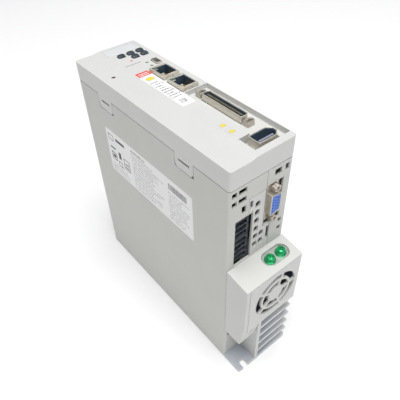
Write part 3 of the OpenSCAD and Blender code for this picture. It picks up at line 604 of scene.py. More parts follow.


# name: colour, roughness, metallic, grain scale, grain depth in mm, tone swing,
# edge wear, painted shade in creases, dust, scuffs, then the shader's own fixed sockets
FINISHES = {
    "cover": ("cover", 0.46, 0, 3200, 0.010, 0.030, 0.10, 0.25, 0.10, 0.10, {}),
    "case": ("case", 0.52, 0, 2600, 0.016, 0.035, 0.12, 0.30, 0.10, 0.12, {}),
    "fan shell": ("fan_shell", 0.50, 0, 2600, 0.016, 0.035, 0.12, 0.30, 0.10, 0.12, {}),
    "casting": ("sink", 0.55, 0.25, 1500, 0.040, 0.060, 0.25, 0.35, 0.10, 0.20, {}),
    "window": ("window", 0.24, 0, 900, 0.003, 0.020, 0.05, 0.10, 0.08, 0.15, {"Coat Weight": 0.5}),
    "key": ("key", 0.42, 0, 4200, 0.012, 0.100, 0.30, 0.20, 0.12, 0.10, {}),
    "black plastic": ("black", 0.45, 0, 3600, 0.012, 0.120, 0.20, 0.10, 0.10, 0.10, {}),
    "socket plastic": ("socket", 0.42, 0, 3600, 0.010, 0.120, 0.15, 0.10, 0.05, 0.10, {}),
    "painted contact glint": ("comb", 0.38, 0, 3600, 0.008, 0.080, 0.10, 0.20, 0.05, 0.05, {}),
    "fan black": ("fan_black", 0.48, 0, 3000, 0.014, 0.120, 0.20, 0.10, 0.25, 0.10, {}),
    "blue plastic": ("insert", 0.40, 0, 4200, 0.008, 0.080, 0.15, 0.20, 0.05, 0.10, {}),
    "label": ("label", 0.38, 0, 1600, 0.006, 0.020, 0.05, 0.10, 0.06, 0.10, {}),
    "ink": ("ink", 0.55, 0, 5200, 0.004, 0.150, 0.00, 0.00, 0.05, 0.05, {}),
    "pane ink": ("window", 0.30, 0, 900, 0.003, 0.020, 0.00, 0.00, 0.05, 0.05, {}),
    "grey ink": ("grey_ink", 0.55, 0, 5200, 0.004, 0.100, 0.00, 0.00, 0.05, 0.05, {}),
    "red ink": ("red_ink", 0.50, 0, 5200, 0.004, 0.060, 0.00, 0.00, 0.05, 0.05, {}),
    "yellow ink": ("yellow_ink", 0.50, 0, 5200, 0.004, 0.060, 0.00, 0.00, 0.05, 0.05, {}),
    "red lens": ("red_lens", 0.22, 0, 2500, 0.004, 0.080, 0.05, 0.05, 0.05, 0.05, {"Coat Weight": 0.4}),
    "green lens": ("green_lens", 0.24, 0, 2500, 0.004, 0.080, 0.05, 0.05, 0.05, 0.05, {"Coat Weight": 0.4}),
    "amber lens": ("amber_lens", 0.28, 0, 2500, 0.004, 0.080, 0.05, 0.05, 0.05, 0.05, {"Coat Weight": 0.4}),
    "board": ("board", 0.38, 0, 900, 0.020, 0.200, 0.20, 0.20, 0.20, 0.05, {"Coat Weight": 0.3}),
    "sleeve": ("sleeve", 0.35, 0, 2600, 0.006, 0.100, 0.10, 0.10, 0.15, 0.10, {}),
    "pad": ("pad", 0.80, 0, 2000, 0.030, 0.120, 0.00, 0.00, 0.10, 0.00, {}),
    "winding": ("winding", 0.35, 0.6, 4000, 0.040, 0.250, 0.20, 0.20, 0.10, 0.00, {}),
    "red wire": ("wire", 0.45, 0, 3000, 0.008, 0.080, 0.05, 0.10, 0.10, 0.10, {}),
}
METALS = {
    "tin": ("tin", 0.44, 0.62, (1.0, 1.0, 0.06), 5200, 0.006, 0.10),
    "steel": ("steel", 0.30, 0.95, (1.0, 1.0, 0.10), 4200, 0.005, 0.10),
    "gold": ("gold", 0.26, 0.95, (1.0, 0.08, 1.0), 6000, 0.003, 0.08),
    "dull steel": ("dull_steel", 0.46, 0.70, (1.0, 1.0, 0.10), 4200, 0.008, 0.14),
    "brass": ("brass", 0.33, 0.95, (1.0, 0.08, 1.0), 4200, 0.005, 0.10),
    "green screw": ("screw", 0.20, 0.60, (1.0, 1.0, 0.15), 3600, 0.006, 0.18),
}


def new_material(name):
    """An empty material with its shader, its output and its object coordinates."""
    material = bpy.data.materials.new(name)
    material.use_nodes = True
    tree = material.node_tree
    tree.nodes.clear()
    shader = tree.nodes.new("ShaderNodeBsdfPrincipled")
    out = tree.nodes.new("ShaderNodeOutputMaterial")
    tree.links.new(shader.outputs["BSDF"], out.inputs["Surface"])
    coords = tree.nodes.new("ShaderNodeTexCoord").outputs["Object"]
    return material, tree, shader, coords


def paint(name):
    """One of the object's colours, with its alpha."""
    return (*getattr(bpy.context.scene.servo_colours, name), 1.0)


def shade(colour, factor):
    """A colour made lighter or darker."""
    return tuple(min(1.0, c * factor) for c in colour[:3]) + (1.0,)


def add_bump(tree, shader, height, depth_mm):
    """Feeds a height to the shader's normal."""
    inputs = {"Height": height, "Distance": depth_mm * MM, "Strength": 0.7}
    bump = node(tree, "ShaderNodeBump", inputs)
    tree.links.new(bump.outputs["Normal"], shader.inputs["Normal"])


def plain_finish(name):
    """Moulded, cast, painted or printed: grain, blotches, scuffs, worn edges, painted shade in
    creases and between the casting's fins, and dust over one colour."""
    colour_name, rough, metal, scale, depth, swing, worn, crease_shade, dusty, scuffed, fixed = FINISHES[name]
    colour = paint(colour_name)
    material, tree, shader, coords = new_material(name)
    grain = effect(tree, "Grain", {"Vector": coords, "Scale": float(scale)})
    marks = effect(tree, "Handling", {"Vector": coords})
    wear_and_crease_shade = effect(tree, "Edge wear and crease shade", {"Vector": coords})
    dust = effect(tree, "Dust", {"Vector": coords})
    share = mixed(tree, 0.45, grain["Tone"], marks["Blotch"])
    base = blended(tree, share, shade(colour, 1 - swing), shade(colour, 1 + swing))
    # On the casting, painted shade between the fins, darkest towards the web
    if name == "casting":
        fin_shade = effect(tree, "Hollow", {"Vector": coords})["Mask"]
        base = blended(tree, fin_shade, base, shade(FIN_SHADE_TINT, 0.60))
    rubbed = (*(c + (RUBBED_TONE - c) * RUBBED_SHARE for c in colour[:3]), 1.0)
    base = laid_over(tree, base, wear_and_crease_shade["Edge"], worn, rubbed)
    # Creases darkened towards a deeper tone: painted shade
    base = laid_over(tree, base, wear_and_crease_shade["Crease"], crease_shade, shade(colour, 0.55))
    base = laid_over(tree, base, dust["Mask"], dusty, DUST_COLOUR)
    base = laid_over(tree, base, marks["Scuff"], scuffed, shade(colour, 0.8))
    tree.links.new(base, shader.inputs["Base Color"])
    dull = between(tree, grain["Tone"], 0.3, 0.7, rough - 0.05, rough + 0.06)
    dull = maths(tree, "ADD", dull, maths(tree, "MULTIPLY", dust["Mask"], 0.2))
    dull = maths(tree, "SUBTRACT", dull, maths(tree, "MULTIPLY", marks["Scuff"], 0.12), clamp=True)
    tree.links.new(dull, shader.inputs["Roughness"])
    shader.inputs["Metallic"].default_value = metal
    for socket, value in fixed.items():
        shader.inputs[socket].default_value = value
    add_bump(tree, shader, grain["Height"], depth)
    return material


def metal_finish(name):
    """Drawn or turned metal: fine lines, tarnish in blotches, painted shade in creases, bright rubbed edges.
    """
    colour_name, rough, metal, stretch, scale, depth, swing = METALS[name]
    colour = paint(colour_name)
    material, tree, shader, coords = new_material(name)
    lines = effect(tree, "Drawn metal", {"Vector": coords, "Stretch": stretch, "Scale": float(scale)})
    marks = effect(tree, "Handling", {"Vector": coords, "Blotch Scale": 180.0})
    wear_and_crease_shade = effect(tree, "Edge wear and crease shade", {"Vector": coords})
    share = mixed(tree, 0.6, lines["Line"], marks["Blotch"])
    base = blended(tree, share, shade(colour, 1 - swing), shade(colour, 1 + swing))
    base = laid_over(tree, base, wear_and_crease_shade["Edge"], 0.3, shade(colour, 1.25))
    # Creases darkened towards a deeper tone: painted shade
    base = laid_over(tree, base, wear_and_crease_shade["Crease"], 0.5, shade(colour, 0.4))
    tree.links.new(base, shader.inputs["Base Color"])
    tree.links.new(between(tree, share, 0.3, 0.7, rough - 0.07, rough + 0.1), shader.inputs["Roughness"])
    shader.inputs["Metallic"].default_value = metal
    add_bump(tree, shader, lines["Line"], depth)
    return material


def finish(name):
    """The material of that name, built when it is first asked for."""
    found = bpy.data.materials.get(name)
    return found or (metal_finish(name) if name in METALS else plain_finish(name))


# ------------------------------------------------------------------ settings

# name: (default colour, title)
COLOURS = {
    "cover": ((0.62, 0.62, 0.605), "Front cover"),
    "case": ((0.57, 0.57, 0.543), "Case"),
    "fan_shell": ((0.61, 0.61, 0.59), "Fan housing"),
    "sink": ((0.60, 0.605, 0.60), "Heat sink"),
    "window": ((0.68, 0.695, 0.705), "Display window"),
    "key": ((0.030, 0.046, 0.062), "Keys"),
    "black": ((0.012, 0.020, 0.034), "Black plastic"),
    "socket": ((0.050, 0.085, 0.125), "Socket plastic"),
    # Pale lavender: a painted glint of the auxiliary contact row
    "comb": ((0.30, 0.32, 0.44), "Contact glint strip"),
    "fan_black": ((0.045, 0.060, 0.085), "Fan plastic"),
    "insert": ((0.055, 0.17, 0.62), "Blue socket insert"),
    "label": ((0.84, 0.84, 0.84), "Label film"),
    "ink": ((0.06, 0.06, 0.065), "Dark ink"),
    "grey_ink": ((0.30, 0.30, 0.31), "Grey ink"),
    "red_ink": ((0.72, 0.10, 0.08), "Red ink"),
    "yellow_ink": ((0.82, 0.66, 0.05), "Yellow ink"),
    "red_lens": ((0.10, 0.03, 0.03), "Charge lamp"),
    "green_lens": ((0.09, 0.20, 0.10), "Status and link lamps"),
    "amber_lens": ((0.55, 0.45, 0.24), "Activity lamps"),
    "board": ((0.02, 0.10, 0.04), "Circuit boards"),
    "sleeve": ((0.02, 0.03, 0.06), "Capacitor sleeves"),
    "pad": ((0.35, 0.36, 0.38), "Thermal pad"),
    "winding": ((0.55, 0.22, 0.08), "Windings"),
    "wire": ((0.45, 0.02, 0.02), "Fan wires"),
    "tin": ((0.70, 0.66, 0.58), "Socket shells"),
    "steel": ((0.62, 0.60, 0.58), "Steel"),
    "dull_steel": ((0.52, 0.47, 0.41), "Posts and latches"),
    "gold": ((0.83, 0.60, 0.28), "Contacts"),
    "brass": ((0.72, 0.55, 0.28), "Standoffs"),
    "screw": ((0.03, 0.46, 0.17), "Earth screws"),
}
# name: (default in millimetres, title, description)
SIZES = {
    "cover_edge": (0.32, "Cover edge", "Radius of the front cover's edges"),
    "case_edge": (0.28, "Case edge", "Radius of the case's edges"),
    "sink_edge": (0.22, "Heat sink edge", "Radius of the casting's edges"),
    "key_round": (0.55, "Key rounding", "Radius round the top of a key"),
    "key_dish": (0.30, "Key dish", "Depth of the dish in a key"),
    "ink_thick": (0.015, "Ink", "Thickness of a printed layer"),
    "mark_rise": (0.12, "Moulded marks", "Height of the moulded marks"),
    "stroke": (0.26, "Print stroke", "Width of one printed stroke"),
    "lens": (39.47, "Lens", "Focal length of the camera"),
}


class ServoColours(bpy.types.PropertyGroup):
    """Colours of the finishes."""

    __annotations__ = {
        key: bpy.props.FloatVectorProperty(
            name=title, description="Colour of: " + title.lower(),
            subtype="COLOR", size=3, min=0.0, max=1.0, default=value,
        )
        for key, (value, title) in COLOURS.items()
    }


class ServoSizes(bpy.types.PropertyGroup):
    """Small sizes that only the looks have."""

    __annotations__ = {
        key: bpy.props.FloatProperty(
            name=title, description=text, unit="LENGTH", min=0.0, default=value * MM
        )
        for key, (value, title, text) in SIZES.items()
    }


def size(name):
    """One of the small sizes, in millimetres."""
    return getattr(bpy.context.scene.servo_sizes, name) / MM


# ------------------------------------------------------------------ pieces


class SERVO_OT_case(bpy.types.Operator):
    """Front cover, case and vented panel, with eased edges"""

    bl_idname = "servo.case"
    bl_label = "Case"

    def execute(self, context):
        eased("cover_moulding", "front_cover", size("cover_edge"), "cover", steps=3, sharp=9)
        eased("case_moulding", "housing", size("case_edge"), "case")
        eased("vent_moulding", "vent_panel", 0.15, "fan shell")
        return {"FINISHED"}


class SERVO_OT_sink(bpy.types.Operator):
    """Cast heat sink with its fins, foot and ear"""

    bl_idname = "servo.sink"
    bl_label = "Heat sink"

    def execute(self, context):
        eased("sink_casting", "heatsink", size("sink_edge"), "casting")
        return {"FINISHED"}


KEYS = ("mode", "shift", "up", "down", "set")


class SERVO_OT_keys(bpy.types.Operator):
    """Five keys, each a dished cap with a flange and a stem"""

    bl_idname = "servo.keys"
    bl_label = "Keys"

    def execute(self, context):
        round_by, dish = size("key_round"), size("key_dish")
        flange_top, ledge = 3.9, np.array([0.6, 0.5, 0])
        share = np.linspace(1, 0, 9)[1:]
        for key in KEYS:
            low, high = span(key + "_button")
            centre = (low + high) / 2
            half = (high - low) / 2 - ledge
            top, flange = high[2], low[2] + flange_top
            shoulder = arc((-round_by, top - round_by), (round_by, round_by), 0, 1, 6)
            rows = [(0, 0, flange), (0, 1, flange), (0, 1, top - round_by)]
            rows += [(x, 1, z) for x, z in shoulder]
            rows += [(-round_by, s, top - dish * (1 - s * s)) for s in share]
            cap = loft(rectangle(-half, half, 1.25, 8), rows)
            skirt = plate(rectangle(-half - ledge, half + ledge, 1), flange - 1, flange)
            stem = lathe(pin_profile(1.2, 0.1, low[2], 0.2, flange - 0.9), 24)
            parts = [repeated(p, (centre[0], centre[1], 0)) for p in (cap, skirt, stem)]
            make(key + "_key_cap", parts, "key", key + "_key", [key + "_button"])
        return {"FINISHED"}


class SERVO_OT_display(bpy.types.Operator):
    """Display window with the faint bars of five digits behind it"""

    bl_idname = "servo.display"
    bl_label = "Display"

    def execute(self, context):
        low, high = span("display_window")
        pane = plate(rectangle(low, high, 0.5), low[2], high[2], 0.15)
        make("display_pane", [pane], "window", stands_for=["display_window"])
        width = (high[0] - low[0]) / 6.2
        middle = (low[1] + high[1]) / 2
        # Half length and half width of a bar, half width and height of a digit
        long, thin, half, tall = 1.1, 0.22, 1.45, 2.9
        bars = []
        for n in range(5):
            x = low[0] + width * (n + 1.1)
            places = [(x, middle + dy, long, thin) for dy in (-tall, 0, tall)]
            places += [(x + dx, middle + dy, thin, long) for dx in (-half, half) for dy in (-half, half)]
            bars += [(a - w, b - h, a + w, b + h) for a, b, w, h in places]
        printed("display_segments", bars, "front", high[2], "pane ink")
        return {"FINISHED"}


class SERVO_OT_lamps(bpy.types.Operator):
    """Charge lamp and status lamps: domed light pipes"""

    bl_idname = "servo.lamps"
    bl_label = "Lamps"

    def execute(self, context):
        rise = 0.35
        for name, radius, look, slot in (
            ("charge_lamp", 1.2, "red lens", "lamp_red"),
            ("status_lamps", 0.9, "green lens", "lamp_green"),
        ):
            pipes = []
            for low, high in islands(name):
                centre = (low + high) / 2
                reach = high[0] - centre[0]
                dome = arc((0, high[2] - rise), (radius, rise), 0, 1, 7)
                flange = [(0, low[2]), (reach, low[2]), (reach, low[2] + 1.6), (radius, low[2] + 2)]
                pipes.append(lathe(flange + dome, 32, centre[:2]))
            make(name + "_pipe", pipes, look, stands_for=[name])
        return {"FINISHED"}


class SERVO_OT_network(bpy.types.Operator):
    """Two network sockets: shield with sprung fingers, insert, contacts, two lamps each"""

    bl_idname = "servo.network"
    bl_label = "Network sockets"

    def execute(self, context):
        eased("jack_shield_boxes", "jack_shields", 0.12, "tin")
        eased("jack_insert_blocks", "jack_inserts", 0.08, "socket plastic")
        lenses = [
            plate(rectangle(low, high, 0.35), low[2], high[2], 0.2)
            for low, high in islands("jack_lamps")
        ]
        make("jack_activity_lenses", lenses[0::2], "amber lens", stands_for=["jack_lamps"])
        make("jack_link_lenses", lenses[1::2], "green lens")
        strips, fingers = [], []
        for low, high in islands("jack_contacts"):
            y = (low[1] + high[1]) / 2
            x0, x1, z1 = low[0], high[0], high[2]
            path = [
                (x1 - 0.2, y, low[2] + 0.1), (x1 - 0.2, y, z1 - 1.2), (x1 - 0.28, y, z1 - 0.5),
                (x1 - 0.55, y, z1 - 0.35), (x1 - 0.85, y, z1 - 1.6), (x1 - 1.5, y, z1 - 4.2),
                (x0 + 0.45, y, z1 - 7.4), (x0 + 0.2, y, z1 - 8.2),
            ]
            strips.append(ribbon(path, (0, 1, 0), 0.4, 0.24))
        make("jack_contact_springs", strips, "gold", stands_for=["jack_contacts"])
        for low, high in islands("jack_shields"):
            for share in (0.3, 0.7):
                x = low[0] + share * (high[0] - low[0])
                for y, out in ((low[1], -1), (high[1], 1)):
                    path = [
                        (x, y + out * 0.02, high[2] - 0.5), (x, y + out * 0.16, high[2] - 0.9),
                        (x, y + out * 0.24, high[2] - 1.6), (x, y + out * 0.1, high[2] - 2.8),
                        (x, y - out * 0.1, high[2] - 3.4),
                    ]
                    fingers.append(ribbon(path, (1, 0, 0), 2.2, 0.12))
        make("jack_shield_fingers", fingers, "tin")
        return {"FINISHED"}


def plug_outline(low, high, cut, inset, radius=0.6):
    """Outline of a connector shell: a rectangle whose two corners on the fin side are cut off."""
    x0, y0, x1, y1 = low[0] + inset, low[1] + inset, high[0] - inset, high[1] - inset
    corners = [(x0, y0), (x1 - cut, y0), (x1, y0 + cut), (x1, y1 - cut), (x1 - cut, y1), (x0, y1)]
    return round_corners(corners, radius)


class SERVO_OT_signal(bpy.types.Operator):
    """Signal connector: drawn shell, insert with two rows of contacts, latch posts"""

    bl_idname = "servo.signal"
    bl_label = "Signal connector"

    def execute(self, context):
        low, high = span("io_shell")
        shell = collar(plug_outline(low, high, 1.2, 0), low[2], high[2], 0.55)
        make("io_drawn_shell", [shell], "tin", stands_for=["io_shell"])
        liner = collar(plug_outline(low, high, 1.2, 0.56, 0.3), low[2] + 1, high[2] - 0.45, 0.3)
        make("io_shell_liner", [liner], "socket plastic")
        eased("io_insert_block", "io_insert", 0.12, "socket plastic")
        blades = []
        block_low, block_high = span("io_insert")
        middle = (low[0] + high[0]) / 2
        for c_low, c_high in islands("io_contacts"):
            x, y = (c_low[0] + c_high[0]) / 2, (c_low[1] + c_high[1]) / 2
            inward, crest = np.sign(middle - x), block_high[2]
            path = [(x, y, c_low[2]), (x, y, crest - 0.6), (x, y, crest - 0.1)]
            path += [(x + inward * 0.12, y, crest + 0.08), (x + inward * 0.55, y, crest + 0.12)]
            blades.append(ribbon(path, (0, 1, 0), 0.6, 0.22))
        make("io_contact_blades", blades, "gold", stands_for=["io_contacts"])
        eased("io_latch_posts", "io_latches", 0.15, "dull steel")
        return {"FINISHED"}


class SERVO_OT_aux(bpy.types.Operator):
    """Auxiliary connector: drawn shell, insert and contacts"""

    bl_idname = "servo.aux"
    bl_label = "Auxiliary connector"

    def execute(self, context):
        low, high = span("aux_shell")
        shell = collar(plug_outline(low, high, 3, 0, 0.9), low[2], high[2], 0.55)
        make("aux_drawn_shell", [shell], "tin", stands_for=["aux_shell"])
        liner = collar(plug_outline(low, high, 3, 0.56, 0.4), low[2] + 1, high[2] - 0.5, 0.3)
        make("aux_shell_liner", [liner], "socket plastic")
        eased("aux_insert_block", "aux_insert", 0.12, "socket plastic")
        blades = []
        for c_low, c_high in islands("aux_contacts"):
            x, y = (c_low[0] + c_high[0]) / 2, (c_low[1] + c_high[1]) / 2
            path = [(x, y, c_low[2]), (x, y, c_high[2] - 0.4), (x, y, c_high[2] - 0.15), (x, y, c_high[2])]
            blades.append(ribbon(path, (1, 0, 0), 0.6, 0.28))
        make("aux_contact_blades", blades, "steel", stands_for=["aux_contacts"])
        first, last = islands("aux_contacts")[0][0], islands("aux_contacts")[-1][1]
        left = np.arange(first[0] - 0.2, last[0], 1.25)
        crest = span("aux_insert")[1][2]
        # A comb between the contacts; its pale lavender colour is a painted glint of the contact row
        comb = boxes(
            np.stack([left, left * 0 + first[1] + 0.25, left * 0 + crest - 0.1], 1),
            np.stack([left + 0.95, left * 0 + last[1] - 0.35, left * 0 + crest + 0.12], 1),
        )
        make("aux_contact_glint_strip", [comb], "painted contact glint")
        return {"FINISHED"}


class SERVO_OT_service(bpy.types.Operator):
    """Small service socket: drawn shell and tongue"""

    bl_idname = "servo.service"
    bl_label = "Service socket"

    def execute(self, context):
        low, high = span("usb_shell")
        wall = collar(rectangle(low, high, 0.8), low[2] + 0.5, high[2], 0.4)
        floor = plate(rectangle(low + 0.1, high - 0.1, 0.7), low[2], low[2] + 0.9)
        make("usb_drawn_shell", [wall, floor], "tin", stands_for=["usb_shell"])
        eased("usb_tongue_block", "usb_tongue", 0.08, "socket plastic")
        return {"FINISHED"}


def hexed(rows, turns=72):
    """A hexagon that turns into a circle: radius = r ((1 - m) / cos(a) + m), where a is
    the angle from the middle of the nearest flat and m the roundness; rows are (r, m,
    height)."""
    t = np.linspace(0, 2 * np.pi, turns, endpoint=False)
    flat = 1 / np.cos((t + np.pi / 6) % (np.pi / 3) - np.pi / 6)
    r, m, height = (np.array(rows, float)[:, n, None] for n in range(3))
    radius = r * ((1 - m) * flat + m)
    lift = np.broadcast_to(height, radius.shape)
    return grid(np.stack([radius * np.cos(t), radius * np.sin(t), lift], 2), wrap_cols=True)


class SERVO_OT_encoder(bpy.types.Operator):
    """Encoder socket: flanged shell, blue insert, hexagonal threaded posts"""

    bl_idname = "servo.encoder"
    bl_label = "Encoder socket"

    def execute(self, context):
        eased("encoder_drawn_shell", "encoder_shell", 0.14, "tin", steps=3)
        eased("encoder_insert_block", "encoder_insert", 0.1, "blue plastic")
        posts, depth, shank_length = [], 4.6, 8
        for low, high in islands("encoder_posts"):
            centre = (low + high) / 2
            radius = (high[0] - low[0]) / 2 * np.cos(np.pi / 6)
            base, top, place = -high[1], -low[1], (centre[0], 0, centre[2])
            crests = np.linspace(0, depth, 24)
            bore = [(1.35 + 0.1 * (n % 2), 1, top - 0.35 - d) for n, d in enumerate(crests)]
            rows = [(radius, 0, base + shank_length), (radius, 0, top - 0.5)]
            rows += [(radius, 0.75, top - 0.12), (radius * 0.92, 1, top)]
            rows += [(1.75, 1, top), *bore, (0, 1, top - 0.4 - depth)]
            shank = lathe(pin_profile(1.5, 0.15, base, 0.3, base + shank_length + 0.2), 24)
            posts += [faced(part, "connector end", place) for part in (hexed(rows), shank)]
        make("encoder_hex_posts", posts, "dull steel", stands_for=["encoder_posts"])
        return {"FINISHED"}


class SERVO_OT_headers(bpy.types.Operator):
    """Black plug headers and their blades"""

    bl_idname = "servo.headers"
    bl_label = "Plug headers"

    def execute(self, context):
        for header in ("motor_header", "brake_header", "input_header"):
            eased(header + "_block", header, 0.15, "black plastic")
        eased("header_blade_tips", "header_blades", 0.12, "tin")
        return {"FINISHED"}


def blade_surface(hub, tip, low, high, start):
    """One fan blade: from hub to tip the chord turns from steep to flat. Round the chord,
    at v = cos t, a thin closed section 0.5 sin t sqrt(1.02 - v^2) lies on the cambered
    line 0.9 (1 - v^2). With along = v chord, across = section + camber and pitch b,
    angle = start + sweep + (along cos b - across sin b) / radius and height = middle +
    along sin b + across cos b, kept between low and high."""
    u = np.linspace(0, 1, 14)[:, None]
    turn = np.linspace(0, 2 * np.pi, 26, endpoint=False)[None]
    v, side = np.cos(turn), np.sin(turn)
    radius = hub + (tip - hub) * u
    pitch = np.radians(48 - 16 * u)
    chord = 6.2 + 0.9 * u
    camber = 0.9 * (1 - v * v)
    across = 0.5 * side * np.sqrt(1.02 - v * v) + camber
    along = v * chord
    angle = start + 0.35 * u + (along * np.cos(pitch) - across * np.sin(pitch)) / radius
    height = (low + high) / 2 + along * np.sin(pitch) + across * np.cos(pitch)
    height = np.clip(height, low, high)
    points = np.stack([radius * np.cos(angle), radius * np.sin(angle), height], 2)
    verts, quads = grid(points, wrap_cols=True)
    cols = points.shape[1]
    last = len(verts) - cols
    return verts, quads + [list(range(cols)), list(range(last + cols - 1, last - 1, -1))]


class SERVO_OT_fan(bpy.types.Operator):
    """Fan housing, grille, fan frame, turning rotor and its lead"""

    bl_idname = "servo.fan"
    bl_label = "Fan"

    def execute(self, context):
        eased("fan_shell_moulding", "fan_housing", size("case_edge"), "fan shell")
        eased("fan_grille", "fan_cover", 0.3, "fan shell", steps=3)
        eased("fan_frame_moulding", "fan_frame", 0.25, "fan black")
        low, high = span("fan_rotor")
        c_low, c_high = span("fan_frame")
        centre = (c_low + c_high) / 2
        top, base = -low[1], -high[1]
        tip = (high[0] - low[0]) / 2
        hub, blades = 9.5, 7
        rim = arc((hub - 1, top - 1), (1, 1), 0, 1, 6)
        cup = [(hub - 1.2, base), (hub, base), *rim, (6.6, top), (6.4, top - 0.25), (0, top - 0.25)]
        shaft = lathe([(0, base + 1), (0.8, base + 1), (1, base + 1.3), (1, top - 1.3), (0, top - 1.3)], 24)
        bore = [(hub - 1.2, base), (hub - 1.2, top - 1.5), (0, top - 1.5)]
        parts = [lathe(cup[::-1] + bore, 64), shaft]
        turns = 2 * np.pi * np.arange(blades) / blades
        parts += [blade_surface(hub - 0.3, tip, base + 0.6, top - 0.6, turn) for turn in turns]
        place = (centre[0], 0, centre[2])
        make(
            "fan_rotor_moulding", [faced(p, "connector end", place) for p in parts],
            "fan black", "rotor", ["fan_rotor"],
        )
        disc = plate(circle((0, 0), 6.3, 48), top - 0.25, top - 0.2, 0.02)
        make("fan_hub_label", [faced(disc, "connector end", place)], "label", "rotor")
        eased("fan_wires", "fan_lead", 0.1, "red wire")
        return {"FINISHED"}


def screw_head(radius, rise, cross, slot, depth):
    """Pan head: height = rise (1 - (r / R)^5)^0.45 + 0.12 (1 - (r / R)^2), less a recess
    whose mask is a smooth cross of two arms joined by one long slot."""
    r = radius * np.sin(np.linspace(0, np.pi / 2, 30))[:, None]
    t = np.linspace(0, 2 * np.pi, 96, endpoint=False)[None]
    x, y = r * np.cos(t), r * np.sin(t)

    def inside(value, limit):
        return np.clip((limit - np.abs(value)) / 0.18 + 0.5, 0, 1)

    arms = np.maximum(inside(x, 0.42) * inside(y, cross), inside(y, 0.42) * inside(x, cross))
    line = inside(y, 0.34) * inside(x, slot) * 0.6
    dome = rise * (1 - (r / radius) ** 5) ** 0.45 + 0.12 * (1 - (r / radius) ** 2)
    z = np.broadcast_to(dome, x.shape) - depth * np.maximum(arms, line) * (r / radius < 0.97)
    return grid(np.stack([x, y, z], 2), wrap_cols=True)


class SERVO_OT_earth(bpy.types.Operator):
    """Earth plate and two green screws with their washers"""

    bl_idname = "servo.earth"
    bl_label = "Earth terminal"

    def execute(self, context):
        eased("earth_bar", "earth_plate", 0.15, "steel")
        parts, radius = [], 3.3
        seat = span("earth_plate")[1][2]
        for n, (low, high) in enumerate(islands("earth_screws")):
            centre = (low + high) / 2
            reach = (high[0] - low[0]) / 2
            at = (centre[0], centre[1], 0)
            washer = arc((reach - 0.3, seat + 0.4), (0.3, 0.4), -1, 1, 7)
            spring = arc((reach - 0.75, seat + 1.08), (0.2, 0.26), -1, 1, 7)
            rings = [(0, seat), *washer, (reach - 0.6, seat + 0.8), *spring, (0, seat + 1.36)]
            head = screw_head(radius, high[2] - seat - 1.54, 1.75, 4.0, 0.85)
            head = repeated(head, (0, 0, seat + 1.4))
            skirt = lathe([(0, seat + 1.3), (radius - 0.05, seat + 1.3), (radius, seat + 1.42)], 96)
            shank = lathe(pin_profile(2, 0.4, low[2], 0.4, seat + 0.1), 32)
            turned = [spun(p, 35 + 50 * n) for p in (head, skirt)]
            parts += [repeated(p, at) for p in (lathe(rings, 64), *turned, shank)]
        make("earth_screw_heads", parts, "green screw", stands_for=["earth_screws"])
        return {"FINISHED"}


def spun(part, degrees):
    """A mesh turned about the z axis."""
    a = math.radians(degrees)
    turn = np.array([[np.cos(a), np.sin(a), 0], [-np.sin(a), np.cos(a), 0], [0, 0, 1]])
    return np.asarray(part[0]) @ turn, part[1]


# ------------------------------------------------------------------ print


def printed(name, areas, face, level, look):
    """A layer of ink: a thin flat block for each area (a0, b0, a1, b1) of a face, at a
    level above the origin along that face's direction."""
    areas = np.array(areas, float)
    thick = size("ink_thick")
    low = np.column_stack([areas[:, :2], np.full(len(areas), level)])
    high = np.column_stack([areas[:, 2:], np.full(len(areas), level + thick)])
    return make(name, [faced(boxes(low, high), face)], look)


def writing(seed, left, right, lines, height):
    """Lines of plain strokes in runs, with no letters: strokes stand at an even pitch,
    some are left out for the gaps, their heights vary, and each line ends at its own
    length."""
    draw = np.random.default_rng(seed)
    stroke = size("stroke")
    across, up = np.meshgrid(np.arange(left, right, stroke * 1.9), lines)
    shown = draw.random(across.shape) > 0.17
    shown &= across < left + (right - left) * draw.uniform(0.62, 1.0, (len(lines), 1))
    tall = height * draw.choice([0.72, 0.72, 1.0], across.shape)
    rows = np.stack([across, up, across + stroke, up + tall], -1)
    return rows[shown]


def outline_bars(a0, b0, a1, b1, line):
    """The four bars of a rectangle's outline."""
    flat = [(a0, b0, a1, b0 + line), (a0, b1 - line, a1, b1)]
    return flat + [(a0, b0, a0 + line, b1), (a1 - line, b0, a1, b1)]


def colour_patch(name, centre, width, tall, level, line):
    """A plain yellow patch with round ends and a thin grey rim."""
    middle, half = np.array(centre), np.array([width, tall]) / 2
    thick = size("ink_thick")
    points, normals = rectangle(middle - half, middle + half, tall * 0.45)
    rim = plate((points, normals), level, level + 0.02, 0.004)
    fill = plate((points - normals * line, normals), level + thick, level + 2 * thick + 0.01, 0.004)
    make(name + "_rim", [rim], "grey ink")
    make(name, [fill], "yellow ink")


